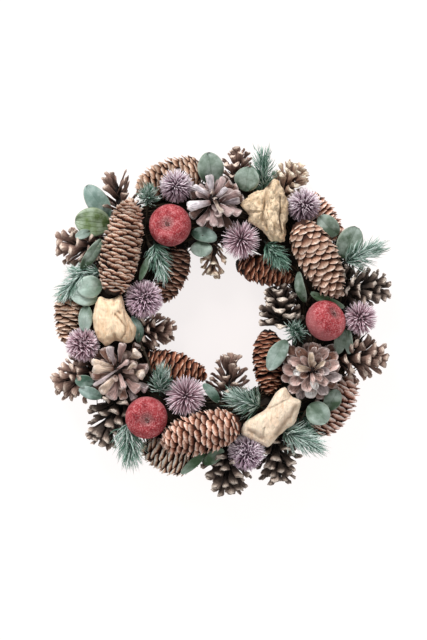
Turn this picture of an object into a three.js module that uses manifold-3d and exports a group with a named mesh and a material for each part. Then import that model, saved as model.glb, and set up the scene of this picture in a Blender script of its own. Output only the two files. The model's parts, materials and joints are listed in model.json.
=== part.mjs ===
// A pinecone wreath: cones, thistle heads, frosted apples, dried husks and frosted greenery, held on a
// ring with a flat back. Millimetres. The wreath lies on its back: +Z is its front and +Y is its top.
// Places are measured from the middle of the ring's back. The last lines centre the whole wreath.

import * as THREE from "three";
import { mergeVertices } from "three/addons/utils/BufferGeometryUtils.js";
import { ConvexGeometry } from "three/addons/geometries/ConvexGeometry.js";
import Module from "manifold-3d";

const wasm = await Module();
wasm.setup();

// Driving dimensions of the ring, and the gap that glued pieces keep to each other.

const RING_RADIUS = 114;
const RING_HALF_WIDTH = 32;
const RING_HEIGHT = 40;
const RING_STEPS = 24;
const RING_PROFILE_STEPS = 5;
const GAP = 0.32;

// Long spruce cones. base and tip are the ends of the axis, width is across the scales.

const SPRUCE_CONES = [
  { name: "spruce_cone_left_large", base: [-112, 26, 59], tip: [-93, 127, 51], width: 43 },
  { name: "spruce_cone_right_large", base: [82, 100, 58], tip: [126, 22, 53], width: 44 },
  { name: "spruce_cone_bottom_large", base: [20, -109, 60], tip: [-64, -130, 54], width: 46 },
  { name: "spruce_cone_top_left", base: [-25, 157, 27], tip: [-88, 140, 26], width: 44 },
  { name: "spruce_cone_left_outer", base: [-154, 36, 25], tip: [-162, -27, 26], width: 36 },
  { name: "spruce_cone_top_right", base: [84, 131, 24], tip: [123, 88, 26], width: 33 },
  { name: "spruce_cone_right_lower", base: [104, -117, 24], tip: [138, -62, 26], width: 41 },
  { name: "spruce_cone_bottom_under", base: [-29, -154, 24], tip: [-84, -134, 25], width: 40 },
  { name: "spruce_cone_hole_top_left", base: [-42, 77, 27], tip: [-60, 18, 25], width: 35 },
  { name: "spruce_cone_hole_top_right", base: [19, 60, 25], tip: [78, 41, 27], width: 31 },
  { name: "spruce_cone_hole_right", base: [50, -14, 23], tip: [49, -77, 33], width: 31 },
  { name: "spruce_cone_hole_bottom_left", base: [-74, -44, 24], tip: [-14, -62, 23], width: 33 },
];

// Open pine cones. open is how far the scales lean out from the axis at the base, in degrees.

const PINE_CONES = [
  { name: "pine_cone_grey_top", base: [-6, 123, 37], tip: [-7, 127, 66], width: 60, open: 86, grey: true },
  { name: "pine_cone_grey_left", base: [-107, -54, 37], tip: [-107, -53, 65], width: 62, open: 84, grey: true },
  { name: "pine_cone_grey_right", base: [97, -52, 37], tip: [96, -52, 66], width: 61, open: 82, grey: true },
  { name: "pine_cone_top_left", base: [-104, 114, 24], tip: [-113, 152, 31], width: 42, open: 66 },
  { name: "pine_cone_left_upper", base: [-132, 80, 24], tip: [-171, 78, 26], width: 51, open: 72 },
  { name: "pine_cone_top", base: [18, 143, 23], tip: [20, 179, 25], width: 40, open: 68 },
  { name: "pine_cone_top_right", base: [66, 130, 24], tip: [84, 160, 27], width: 41, open: 68 },
  { name: "pine_cone_right_upper", base: [136, 32, 25], tip: [176, 34, 26], width: 50, open: 66 },
  { name: "pine_cone_right_lower", base: [133, -38, 26], tip: [173, -40, 29], width: 53, open: 70 },
  { name: "pine_cone_left_lower", base: [-132, -55, 26], tip: [-170, -70, 27], width: 53, open: 70 },
  { name: "pine_cone_bottom_left", base: [-107, -89, 24], tip: [-128, -135, 25], width: 49, open: 68 },
  { name: "pine_cone_bottom", base: [9, -143, 25], tip: [8, -181, 25], width: 52, open: 74 },
  { name: "pine_cone_bottom_right", base: [59, -127, 24], tip: [63, -172, 25], width: 48, open: 68 },
  { name: "pine_cone_hole_right", base: [86, 6, 20], tip: [48, 7, 35], width: 44, open: 72 },
  { name: "pine_cone_hole_left", base: [-85, -9, 20], tip: [-51, -11, 27], width: 38, open: 70 },
  { name: "pine_cone_hole_top", base: [-7, 84, 22], tip: [-8, 46, 26], width: 34, open: 66 },
  { name: "pine_cone_hole_bottom", base: [9, -86, 23], tip: [9, -42, 26], width: 47, open: 70 },
];

// Thistle heads. centre and radius are of the ball of spines.

const THISTLE_HEADS = [
  { name: "thistle_head_top_left", centre: [-46, 140, 46], radius: 18 },
  { name: "thistle_head_hole_top", centre: [22, 83, 45], radius: 20 },
  { name: "thistle_head_top_right", centre: [88, 120, 45], radius: 18 },
  { name: "thistle_head_left_upper", centre: [-80, 21, 47], radius: 20.5 },
  { name: "thistle_head_left_lower", centre: [-144, -27, 47], radius: 18.5 },
  { name: "thistle_head_right", centre: [147, 1, 44], radius: 17.5 },
  { name: "thistle_head_hole_bottom", centre: [-36, -81, 47], radius: 21.5 },
  { name: "thistle_head_bottom", centre: [28, -140, 44], radius: 20 },
];

// Frosted apples. up is the direction that the calyx end faces.

const APPLES = [
  { name: "apple_top_left", centre: [-52, 98, 55.5], radius: 22, up: [-0.2, 0.08, 1] },
  { name: "apple_right", centre: [110, -2, 59], radius: 21.5, up: [0.35, 0.62, 0.8] },
  { name: "apple_bottom_left", centre: [-77, -103, 55], radius: 22, up: [0.05, -0.12, 1] },
];

// Pale husks. outline goes round the husk as seen from the front, from the husk's centre.

const HUSKS = [
  {
    name: "husk_folded",
    centre: [49, 112, 51],
    thickness: 32,
    outline: [[22, 0], [20, 14], [14, 29], [7, 33], [-2, 24], [-12, 21], [-26, 9], [-19, -3], [-18, -11],
      [-5, -18], [4, -29], [18, -30], [20, -14]],
  },
  {
    name: "husk_pear",
    centre: [-112, -1, 52],
    thickness: 34,
    outline: [[24, -9], [19, 0], [13, 11], [9, 25], [1, 23], [-6, 22], [-14, 24], [-19, 14], [-21, -1],
      [-18, -16], [-8, -27], [2, -22], [12, -24], [21, -21]],
  },
  {
    name: "husk_stalk",
    centre: [54, -103, 51],
    thickness: 30,
    outline: [[33, 15], [24, 31], [14, 32], [1, 19], [-12, 8], [-24, 1], [-31, -16], [-22, -21], [-5, -31],
      [6, -26], [18, -14], [26, 2]],
  },
];

// Sprigs of greenery. A leaf or spray runs from base to tip. turn is the leaf's tilt about its length, in
// degrees, and arch is how far its middle rises. A stem is a chain of points, down to the ring.

const SPRIGS = [
  {
    name: "leaves_top_left",
    leaves: [
      { base: [-117, 106, 35], tip: [-141, 141, 37], width: 23, turn: 0, arch: 3 },
      { base: [-115, 100, 35], tip: [-153, 104, 39], width: 31, turn: 0, arch: 5 },
      { base: [-136, 92, 43], tip: [-152, 86, 46], width: 10, turn: 0, arch: 1 },
    ],
    stems: [[[-96, 85, 33], [-110, 98, 33], [-119, 108, 36]], [[-112, 99, 34], [-128, 95, 36], [-138, 92, 44]]],
  },
  {
    name: "greenery_top_left",
    leaves: [{ base: [-73, 68, 47], tip: [-84, 40, 49], width: 8, turn: 20, arch: 1 }],
    sprays: [
      { base: [-76, 123, 47], tip: [-75, 130, 60], needle: 15 },
      { base: [-69, 76, 46], tip: [-64, 56, 48], needle: 17 },
    ],
    stems: [[[-76, 124, 49], [-77, 108, 42], [-79, 94, 39], [-75, 80, 41], [-68, 74, 46]],
      [[-77, 82, 41], [-74, 74, 44], [-73, 67, 47]]],
  },
  {
    name: "leaf_top",
    leaves: [{ base: [-8, 142, 32], tip: [-13, 176, 38], width: 28, turn: 8, arch: 4 }],
    stems: [[[-8, 126, 33], [-8, 136, 32], [-9, 146, 33]]],
  },
  {
    name: "greenery_top",
    leaves: [{ base: [27, 134, 42], tip: [31, 160, 44], width: 27, turn: -10, arch: 4 }],
    sprays: [{ base: [46, 142, 33], tip: [45, 163, 37], needle: 19 }],
    stems: [[[36, 124, 33], [42, 134, 32], [46, 144, 33]], [[38, 128, 33], [33, 134, 36], [27, 138, 42]]],
  },
  {
    name: "leaves_hole_top",
    leaves: [
      { base: [-30, 90, 44], tip: [-4, 84, 46], width: 14, turn: -15, arch: 3 },
      { base: [-19, 82, 43], tip: [-20, 65, 44], width: 23, turn: 0, arch: 3 },
    ],
    stems: [[[-22, 95, 33], [-19, 86, 39], [-19, 78, 44]], [[-20, 89, 37], [-18, 87, 49]]],
  },
  {
    name: "greenery_left",
    leaves: [
      { base: [-144, 58, 48], tip: [-126, 81, 49], width: 9, turn: 15, arch: 2 },
      { base: [-124, 35, 46], tip: [-150, 32, 52], width: 24, turn: 0, arch: 4 },
      { base: [-128, 20, 46], tip: [-157, 26, 48], width: 18, turn: 0, arch: 3 },
      { base: [-140, 15, 46], tip: [-142, -14, 49], width: 15, turn: 0, arch: 2 },
    ],
    sprays: [{ base: [-145, 47, 46], tip: [-159, 34, 46], needle: 15 }],
    stems: [[[-120, 44, 31], [-132, 44, 38], [-140, 50, 46], [-146, 58, 48]], [[-128, 44, 36], [-130, 34, 46]],
      [[-134, 46, 41], [-148, 45, 46]], [[-130, 36, 44], [-131, 24, 46], [-141, 12, 46]]],
  },
  {
    name: "greenery_hole_left",
    leaves: [{ base: [-86, -25, 41], tip: [-93, 3, 40], width: 13, turn: 38, arch: 6 }],
    sprays: [{ base: [-61, -76, 43], tip: [-61, -62, 54], needle: 15 }],
    stems: [[[-93, -20, 33], [-89, -24, 36], [-86, -23, 41]],
      [[-87, -23, 41], [-80, -33, 42], [-75, -46, 43], [-70, -62, 42], [-61, -74, 45]]],
  },
  {
    name: "leaves_left_lower",
    leaves: [
      { base: [-132, -67, 50], tip: [-152, -64, 52], width: 14, turn: 0, arch: 2 },
      { base: [-124, -82, 49], tip: [-148, -73, 51], width: 13, turn: 0, arch: 3 },
    ],
    stems: [[[-110, -80, 31], [-120, -84, 39], [-126, -82, 49]],
      [[-122, -84, 42], [-130, -74, 49], [-134, -67, 50]]],
  },
  {
    name: "greenery_right_upper",
    leaves: [
      { base: [124, 88, 45], tip: [104, 108, 44], width: 21, turn: -10, arch: 4 },
      { base: [127, 64, 42], tip: [144, 97, 44], width: 27, turn: 10, arch: 4 },
    ],
    sprays: [{ base: [132, 60, 44], tip: [155, 70, 47], needle: 20 }],
    stems: [[[113, 62, 33], [124, 62, 35], [134, 61, 44]], [[126, 62, 38], [124, 78, 43], [124, 90, 45]]],
  },
  {
    name: "needles_hole_top",
    sprays: [{ base: [48, 79, 45], tip: [61, 65, 48], needle: 17 }],
    stems: [[[60, 88, 35], [54, 84, 40], [48, 79, 45]]],
  },
  {
    name: "leaves_right",
    leaves: [
      { base: [90, 17, 42], tip: [83, 50, 43], width: 12, turn: -30, arch: 5 },
      { base: [97, 26, 44], tip: [130, 13, 46], width: 8, turn: 30, arch: 2 },
      { base: [130, -9, 44], tip: [125, -36, 46], width: 9, turn: -15, arch: 1 },
      { base: [133, -9, 44], tip: [135, -37, 45], width: 8, turn: 15, arch: 1 },
    ],
    stems: [[[93, 14, 33], [91, 18, 38], [89, 23, 46]], [[91, 17, 36], [96, 24, 41], [100, 25, 46]],
      [[125, 15, 47], [126, 2, 39], [130, -11, 45]], [[128, -6, 43], [134, -12, 45]]],
  },
  {
    name: "greenery_hole_right",
    leaves: [{ base: [70, -22, 47], tip: [51, -54, 50], width: 19, turn: 12, arch: 5 }],
    sprays: [{ base: [79, -14, 42], tip: [79, -12, 58], needle: 15 }],
    stems: [[[88, -20, 24], [81, -17, 33], [79, -14, 44]], [[80, -16, 38], [76, -20, 43], [68, -24, 47]]],
  },
  {
    name: "greenery_right_lower",
    leaves: [
      { base: [93, -90, 47], tip: [113, -108, 50], width: 25, turn: 0, arch: 4 },
      { base: [112, -96, 46], tip: [124, -74, 47], width: 18, turn: 0, arch: 3 },
    ],
    sprays: [{ base: [70, -123, 44], tip: [92, -128, 46], needle: 19 }],
    stems: [[[93, -92, 46], [86, -104, 43], [79, -115, 43], [69, -123, 44]], [[86, -104, 42], [80, -98, 32]],
      [[94, -93, 46], [104, -98, 44], [114, -94, 46]]],
  },
  {
    name: "leaves_bottom",
    leaves: [
      { base: [-15, -141, 38], tip: [-41, -163, 41], width: 10, turn: 0, arch: 1 },
      { base: [-17, -153, 39], tip: [4, -137, 42], width: 13, turn: 0, arch: 2 },
    ],
    stems: [[[-8, -126, 32], [-14, -134, 34], [-15, -143, 38]],
      [[-14, -138, 36], [-18, -148, 37], [-17, -155, 39]]],
  },
  {
    name: "greenery_hole_bottom",
    leaves: [{ base: [-1, -88, 44], tip: [-18, -68, 46], width: 11, turn: 20, arch: 3 }],
    sprays: [{ base: [41, -91, 46], tip: [23, -85, 51], needle: 20 }],
    stems: [[[44, -92, 34], [43, -93, 40], [40, -90, 46]],
      [[42, -93, 38], [30, -95, 39], [12, -93, 39], [-2, -87, 44]]],
  },
  {
    name: "needles_bottom_left",
    sprays: [{ base: [-97, -114, 42], tip: [-95, -138, 42], needle: 20 }],
    stems: [[[-99, -96, 33], [-99, -108, 37], [-97, -118, 42]]],
  },
];

// Colours of the materials.

const FINISHES = {
  ring: { color: 0x4a3a2c, roughness: 0.95, metalness: 0 },
  spruce: { color: 0xc49a74, roughness: 0.85, metalness: 0 },
  pine: { color: 0x6b5345, roughness: 0.85, metalness: 0 },
  greyPine: { color: 0xa8969a, roughness: 0.85, metalness: 0 },
  thistle: { color: 0x7d6272, roughness: 0.9, metalness: 0 },
  apple: { color: 0xb8454c, roughness: 0.7, metalness: 0 },
  husk: { color: 0xecd3ac, roughness: 0.8, metalness: 0 },
  greenery: { color: 0x6f9484, roughness: 0.85, metalness: 0 },
};

// Helpers for closed meshes.

/** Small seeded random number source, so that each build is the same. */
function randomSource(seed) {
  let state = seed;
  return () => {
    state = (state * 1664525 + 1013904223) % 4294967296;
    return state / 4294967296;
  };
}

function geometryFrom(points, triangles) {
  const geometry = new THREE.BufferGeometry();
  const places = points.flatMap((p) => [p.x, p.y, p.z]);
  geometry.setAttribute("position", new THREE.Float32BufferAttribute(places, 3));
  geometry.setIndex(triangles.flat());
  return geometry;
}

/** Keeps only the places of the corners, and joins corners that lie together. */
function welded(geometry) {
  const bare = geometry.clone();
  bare.deleteAttribute("normal");
  bare.deleteAttribute("uv");
  return mergeVertices(bare, 1e-4);
}

function signedVolume(geometry) {
  const place = geometry.getAttribute("position");
  const index = geometry.getIndex().array;
  const [a, b, c] = [new THREE.Vector3(), new THREE.Vector3(), new THREE.Vector3()];
  let volume = 0;
  for (let i = 0; i < index.length; i += 3) {
    a.fromBufferAttribute(place, index[i]);
    b.fromBufferAttribute(place, index[i + 1]);
    c.fromBufferAttribute(place, index[i + 2]);
    volume += a.dot(b.cross(c)) / 6;
  }
  return volume;
}

/** Turns a closed mesh so that its faces point outwards. */
function facingOut(geometry) {
  if (signedVolume(geometry) < 0) {
    const index = geometry.getIndex().array;
    for (let i = 0; i < index.length; i += 3) {
      [index[i], index[i + 1]] = [index[i + 1], index[i]];
    }
  }
  return geometry;
}

function toSolid(geometry) {
  const shape = welded(geometry);
  const vertProperties = new Float32Array(shape.getAttribute("position").array);
  const triVerts = new Uint32Array(shape.getIndex().array);
  return new wasm.Manifold(new wasm.Mesh({ numProp: 3, vertProperties, triVerts }));
}

function toGeometry(solid) {
  const mesh = solid.getMesh();
  const geometry = new THREE.BufferGeometry();
  geometry.setAttribute("position", new THREE.Float32BufferAttribute(mesh.vertProperties, 3));
  geometry.setIndex(Array.from(mesh.triVerts));
  return geometry;
}

/** Drops the scraps that a cut leaves loose, and keeps the largest body. */
function largestBody(geometry) {
  const index = geometry.getIndex().array;
  const owner = Array.from({ length: geometry.getAttribute("position").count }, (_, i) => i);
  const find = (i) => {
    while (owner[i] !== i) {
      owner[i] = owner[owner[i]];
      i = owner[i];
    }
    return i;
  };
  for (let i = 0; i < index.length; i += 3) {
    owner[find(index[i])] = find(index[i + 1]);
    owner[find(index[i + 1])] = find(index[i + 2]);
  }
  const bodies = new Map();
  for (let i = 0; i < index.length; i += 3) {
    const key = find(index[i]);
    bodies.set(key, [...(bodies.get(key) ?? []), index[i], index[i + 1], index[i + 2]]);
  }
  const parts = [...bodies.values()].map((triangles) => {
    const part = geometry.clone();
    part.setIndex(triangles);
    return welded(part.toNonIndexed());
  });
  parts.sort((a, b) => signedVolume(b) - signedVolume(a));
  return parts[0];
}

/** A convex skin round a piece, grown by a gap, which its neighbours are cut back to. */
function envelope(geometry, gap) {
  const place = geometry.getAttribute("position");
  const points = [];
  for (let i = 0; i < place.count; i += 1) {
    points.push(new THREE.Vector3().fromBufferAttribute(place, i));
  }
  const skin = welded(new ConvexGeometry(points));
  skin.computeVertexNormals();
  const corner = skin.getAttribute("position");
  const normal = skin.getAttribute("normal");
  for (let i = 0; i < corner.count; i += 1) {
    corner.setXYZ(i, corner.getX(i) + normal.getX(i) * gap, corner.getY(i) + normal.getY(i) * gap,
      corner.getZ(i) + normal.getZ(i) * gap);
  }
  skin.deleteAttribute("normal");
  return skin;
}

function vector(place) {
  return new THREE.Vector3(...place);
}

/** Moves a shape that stands on the origin along +Z to lie from base towards tip. */
function placedAlong(geometry, base, tip) {
  const turn = new THREE.Quaternion().setFromUnitVectors(
    new THREE.Vector3(0, 0, 1), vector(tip).sub(vector(base)).normalize());
  return geometry.applyQuaternion(turn).translate(...base);
}

// The ring.

/** A half-round ring with a flat back, grown on every side by grow. */
function ringShape(grow) {
  const profile = [];
  for (let i = 0; i <= RING_PROFILE_STEPS; i += 1) {
    const angle = (Math.PI * i) / RING_PROFILE_STEPS;
    profile.push(new THREE.Vector2(RING_RADIUS + (RING_HALF_WIDTH + grow) * Math.cos(angle),
      (RING_HEIGHT + grow) * Math.sin(angle)));
  }
  profile.push(new THREE.Vector2(RING_RADIUS - RING_HALF_WIDTH - grow, -grow));
  profile.push(new THREE.Vector2(RING_RADIUS + RING_HALF_WIDTH + grow, -grow));
  profile.push(profile[0].clone());
  return facingOut(welded(new THREE.LatheGeometry(profile, RING_STEPS)).rotateX(Math.PI / 2));
}

// Cones. A core of staggered rings of corners is tiled by diamonds, and each diamond is drawn out to a
// scale with a lip of two corners.

/** coreRadius, lipRadius, lipAhead and lipWidth are functions of the place along the cone, 0 to 1. */
function scaledCone({ length, rows, columns, coreRadius, lipRadius, lipAhead, lipWidth, baseDepth, tipDepth }) {
  const points = [];
  const triangles = [];
  const bands = rows + 1;
  const angleOf = (ring, column) => ((2 * column + ring) * Math.PI) / columns;
  const corner = (ring, column) => ring * columns + ((column + columns) % columns);
  const add = (radius, angle, height) => {
    points.push(new THREE.Vector3(radius * Math.cos(angle), radius * Math.sin(angle), height));
    return points.length - 1;
  };
  for (let ring = 0; ring <= bands; ring += 1) {
    for (let column = 0; column < columns; column += 1) {
      add(coreRadius(ring / bands), angleOf(ring, column), (length * ring) / bands);
    }
  }
  for (let ring = 1; ring < bands; ring += 1) {
    const at = ring / bands;
    for (let column = 0; column < columns; column += 1) {
      const below = corner(ring - 1, column + 1);
      const above = corner(ring + 1, column);
      const left = corner(ring, column);
      const right = corner(ring, column + 1);
      const angle = angleOf(ring + 1, column);
      const half = Math.atan(lipWidth(at) / 2 / lipRadius(at));
      const height = length * at + lipAhead(at);
      const lipLeft = add(lipRadius(at), angle - half, height);
      const lipRight = add(lipRadius(at), angle + half, height);
      triangles.push([below, right, lipRight], [right, above, lipRight], [above, lipLeft, lipRight]);
      triangles.push([above, left, lipLeft], [left, below, lipLeft], [below, lipRight, lipLeft]);
    }
  }
  const basePole = add(0, 0, -baseDepth);
  const tipPole = add(0, 0, length + tipDepth);
  for (let column = 0; column < columns; column += 1) {
    const first = corner(0, column);
    const second = corner(0, column + 1);
    triangles.push([first, second, corner(1, column)], [basePole, second, first]);
    const last = corner(bands, column);
    const next = corner(bands, column + 1);
    triangles.push([next, last, corner(bands - 1, column + 1)], [tipPole, last, next]);
  }
  return facingOut(geometryFrom(points, triangles));
}

// Spruce cones. Pitches are along and round the cone. The swell of a cone is part of a sine wave.

const SPRUCE_ROW_PITCH = 8.8;
const SPRUCE_COLUMN_PITCH = 16;
const SPRUCE_SCALE_DEPTH = 4.2;
const SPRUCE_SCALE_AHEAD = 7;
const SPRUCE_LIP_SHARE = 0.83;
const SPRUCE_SWELL = { start: 0.2, span: 0.72, fullness: 0.6 };
const SPRUCE_BASE_DEPTH = 3;
const SPRUCE_TIP_DEPTH = 4;
const SLIMMEST_CORE = 2;

function spruceCone({ base, tip, width }) {
  const length = vector(base).distanceTo(vector(tip));
  const rows = Math.round(length / SPRUCE_ROW_PITCH) - 1;
  const columns = Math.round((Math.PI * width) / SPRUCE_COLUMN_PITCH);
  const { start, span, fullness } = SPRUCE_SWELL;
  const swell = (at) => (width / 2) * Math.sin(Math.PI * (start + span * at)) ** fullness;
  const shape = scaledCone({
    length: length - SPRUCE_TIP_DEPTH,
    rows,
    columns,
    coreRadius: (at) => Math.max(swell(at) - SPRUCE_SCALE_DEPTH, SLIMMEST_CORE),
    lipRadius: swell,
    lipAhead: () => SPRUCE_SCALE_AHEAD,
    lipWidth: (at) => (SPRUCE_LIP_SHARE * Math.PI * swell(at)) / columns,
    baseDepth: SPRUCE_BASE_DEPTH,
    tipDepth: SPRUCE_TIP_DEPTH,
  });
  return placedAlong(shape, base, tip);
}

// Open pine cones. A grey one faces the viewer as a rosette, so its rows are few and close.

const PINE_ROW_PITCH = 9;
const PINE_ROWS_AT_LEAST = 4;
const PINE_COLUMNS = 6;
const ROSETTE_COLUMNS = 8;
const PINE_LIP_SHARE = 0.8;
const ROSETTE_LIP_SHARE = 0.73;
const PINE_TAPER = 0.62;
const PINE_CORE_SHARE = 0.42;
const PINE_CORE_TAPER = 0.75;
const PINE_CLOSING = 0.6;
const PINE_BASE_DEPTH = 2;
const PINE_TIP_DEPTH = 6;

function pineCone({ base, tip, width, open, grey }) {
  const length = vector(base).distanceTo(vector(tip));
  const rows = grey ? PINE_ROWS_AT_LEAST : Math.max(PINE_ROWS_AT_LEAST, Math.round(length / PINE_ROW_PITCH));
  const columns = grey ? ROSETTE_COLUMNS : PINE_COLUMNS;
  const lipShare = grey ? ROSETTE_LIP_SHARE : PINE_LIP_SHARE;
  const reach = (at) => (width / 2) * (1 - PINE_TAPER * at ** 1.5);
  const core = (at) => Math.max((width / 2) * PINE_CORE_SHARE * (1 - PINE_CORE_TAPER * at), SLIMMEST_CORE);
  const lean = (at) => THREE.MathUtils.degToRad(open * (1 - PINE_CLOSING * at));
  const shape = scaledCone({
    length: length - PINE_TIP_DEPTH,
    rows,
    columns,
    coreRadius: core,
    lipRadius: reach,
    lipAhead: (at) => (reach(at) - core(at)) / Math.tan(lean(at)),
    lipWidth: (at) => (lipShare * Math.PI * reach(at)) / columns,
    baseDepth: PINE_BASE_DEPTH,
    tipDepth: PINE_TIP_DEPTH,
  });
  return placedAlong(shape, base, tip);
}

// Thistle heads.

const THISTLE_CORE_SHARE = 0.66;
const THISTLE_TURN = 0.35;

/** A ball whose every face is drawn out to a spine. */
function spinedBall(radius) {
  const core = welded(new THREE.IcosahedronGeometry(radius * THISTLE_CORE_SHARE, 1));
  const place = core.getAttribute("position");
  const index = core.getIndex().array;
  const points = [];
  const triangles = [];
  for (let i = 0; i < place.count; i += 1) {
    points.push(new THREE.Vector3().fromBufferAttribute(place, i));
  }
  for (let i = 0; i < index.length; i += 3) {
    const [a, b, c] = [index[i], index[i + 1], index[i + 2]];
    const spine = new THREE.Vector3().add(points[a]).add(points[b]).add(points[c]).normalize();
    points.push(spine.multiplyScalar(radius));
    const end = points.length - 1;
    triangles.push([a, b, end], [b, c, end], [c, a, end]);
  }
  return facingOut(geometryFrom(points, triangles));
}

function thistleHead({ centre, radius }) {
  return spinedBall(radius).rotateX(THISTLE_TURN).translate(...centre);
}

// Apples.

// An apple is a little flat, and both of its ends are dimpled. The shares are of its radius.

const APPLE_SIDES = 14;
const APPLE_RINGS = 8;
const APPLE_STEM_END = 0.78;
const APPLE_CALYX_END = 0.62;
const APPLE_FLATNESS = 0.93;
const APPLE_DIMPLE = 0.2;

function apple({ centre, radius, up }) {
  const profile = [new THREE.Vector2(0, -radius * APPLE_STEM_END)];
  for (let i = 1; i < APPLE_RINGS; i += 1) {
    const angle = -Math.PI / 2 + (Math.PI * i) / APPLE_RINGS;
    const dimple = APPLE_DIMPLE * Math.abs(Math.sin(angle)) ** 8;
    const height = Math.sin(angle) * (APPLE_FLATNESS - dimple);
    profile.push(new THREE.Vector2(radius * Math.cos(angle), radius * height));
  }
  profile.push(new THREE.Vector2(0, radius * APPLE_CALYX_END));
  const fruit = facingOut(welded(new THREE.LatheGeometry(profile, APPLE_SIDES)).rotateX(Math.PI / 2));
  const turn = new THREE.Quaternion().setFromUnitVectors(new THREE.Vector3(0, 0, 1), vector(up).normalize());
  return fruit.applyQuaternion(turn).translate(...centre);
}

// Husks.

// The levels of a husk are angles over its edge, in degrees.

const HUSK_SIDES = 16;
const HUSK_LEVELS = [-64, -34, 0, 28, 54, 74];

/** A rounded body with a given outline, highest in its middle. */
function husk({ centre, thickness, outline }) {
  const round = new THREE.CatmullRomCurve3(outline.map(([x, y]) => new THREE.Vector3(x, y, 0)), true);
  const edge = round.getSpacedPoints(HUSK_SIDES).slice(0, HUSK_SIDES);
  const points = [new THREE.Vector3(0, 0, -thickness / 2), new THREE.Vector3(0, 0, thickness / 2)];
  const triangles = [];
  const corner = (level, side) => 2 + level * HUSK_SIDES + (side % HUSK_SIDES);
  HUSK_LEVELS.forEach((degrees) => {
    const angle = THREE.MathUtils.degToRad(degrees);
    edge.forEach((p) => {
      points.push(new THREE.Vector3(p.x * Math.cos(angle), p.y * Math.cos(angle),
        (thickness / 2) * Math.sin(angle)));
    });
  });
  for (let side = 0; side < HUSK_SIDES; side += 1) {
    triangles.push([0, corner(0, side + 1), corner(0, side)]);
    const top = HUSK_LEVELS.length - 1;
    triangles.push([1, corner(top, side), corner(top, side + 1)]);
    for (let level = 0; level < top; level += 1) {
      const [a, b] = [corner(level, side), corner(level, side + 1)];
      const [c, d] = [corner(level + 1, side), corner(level + 1, side + 1)];
      triangles.push([a, b, d], [a, d, c]);
    }
  }
  return facingOut(geometryFrom(points, triangles)).translate(...centre);
}

// Greenery.

// A leaf's stalk and stations are shares of its length.

const LEAF_THICKNESS = 1.8;
const LEAF_STALK = 0.1;
const LEAF_FULLNESS = 0.6;
const LEAF_STATIONS = [0.13, 0.45, 0.8];

/** A thin blade with a raised midrib, wide in the middle and pointed at both ends. */
function leafBlade({ base, tip, width, turn, arch }) {
  const start = vector(base);
  const along = vector(tip).sub(start);
  const length = along.length();
  const direction = along.clone().normalize();
  const side = direction.clone().cross(new THREE.Vector3(0, 0, 1)).normalize();
  side.applyAxisAngle(direction, THREE.MathUtils.degToRad(turn));
  const up = side.clone().cross(direction);
  const at = (t, across, lift) => start.clone().addScaledVector(direction, length * t)
    .addScaledVector(side, across).addScaledVector(up, lift + arch * Math.sin(Math.PI * t));
  const points = [at(-LEAF_STALK, 0, 0), at(1, 0, 0)];
  const triangles = [];
  LEAF_STATIONS.forEach((t) => {
    const half = (width / 2) * Math.sin(Math.PI * t) ** LEAF_FULLNESS;
    points.push(at(t, -half, 0), at(t, 0, -LEAF_THICKNESS / 2), at(t, half, 0), at(t, 0, LEAF_THICKNESS / 2));
  });
  const corner = (station, k) => 2 + station * 4 + (k % 4);
  const last = LEAF_STATIONS.length - 1;
  for (let k = 0; k < 4; k += 1) {
    triangles.push([0, corner(0, k), corner(0, k + 1)], [1, corner(last, k + 1), corner(last, k)]);
    for (let station = 0; station < last; station += 1) {
      const [a, b] = [corner(station, k), corner(station, k + 1)];
      const [c, d] = [corner(station + 1, k), corner(station + 1, k + 1)];
      triangles.push([a, c, d], [a, d, b]);
    }
  }
  return facingOut(geometryFrom(points, triangles));
}

// Needles of a spray lean from its axis by an angle that closes towards its tip, in degrees.

const SPRAY_SIDES = 4;
const SPRAY_CORE_RADIUS = 2;
const SPRAY_CORE_TAPER = 0.4;
const SPRAY_BAND = 5;
const SPRAY_BANDS_AT_LEAST = 3;
const SPRAY_ROOT = 5;
const NEEDLE_LEAN_AT_ROOT = 62;
const NEEDLE_LEAN_CLOSING = 34;
const NEEDLE_SHORTEST = 0.82;
const NEEDLE_SPREAD = 0.3;
const TIP_NEEDLE_SHARE = 0.8;

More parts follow.
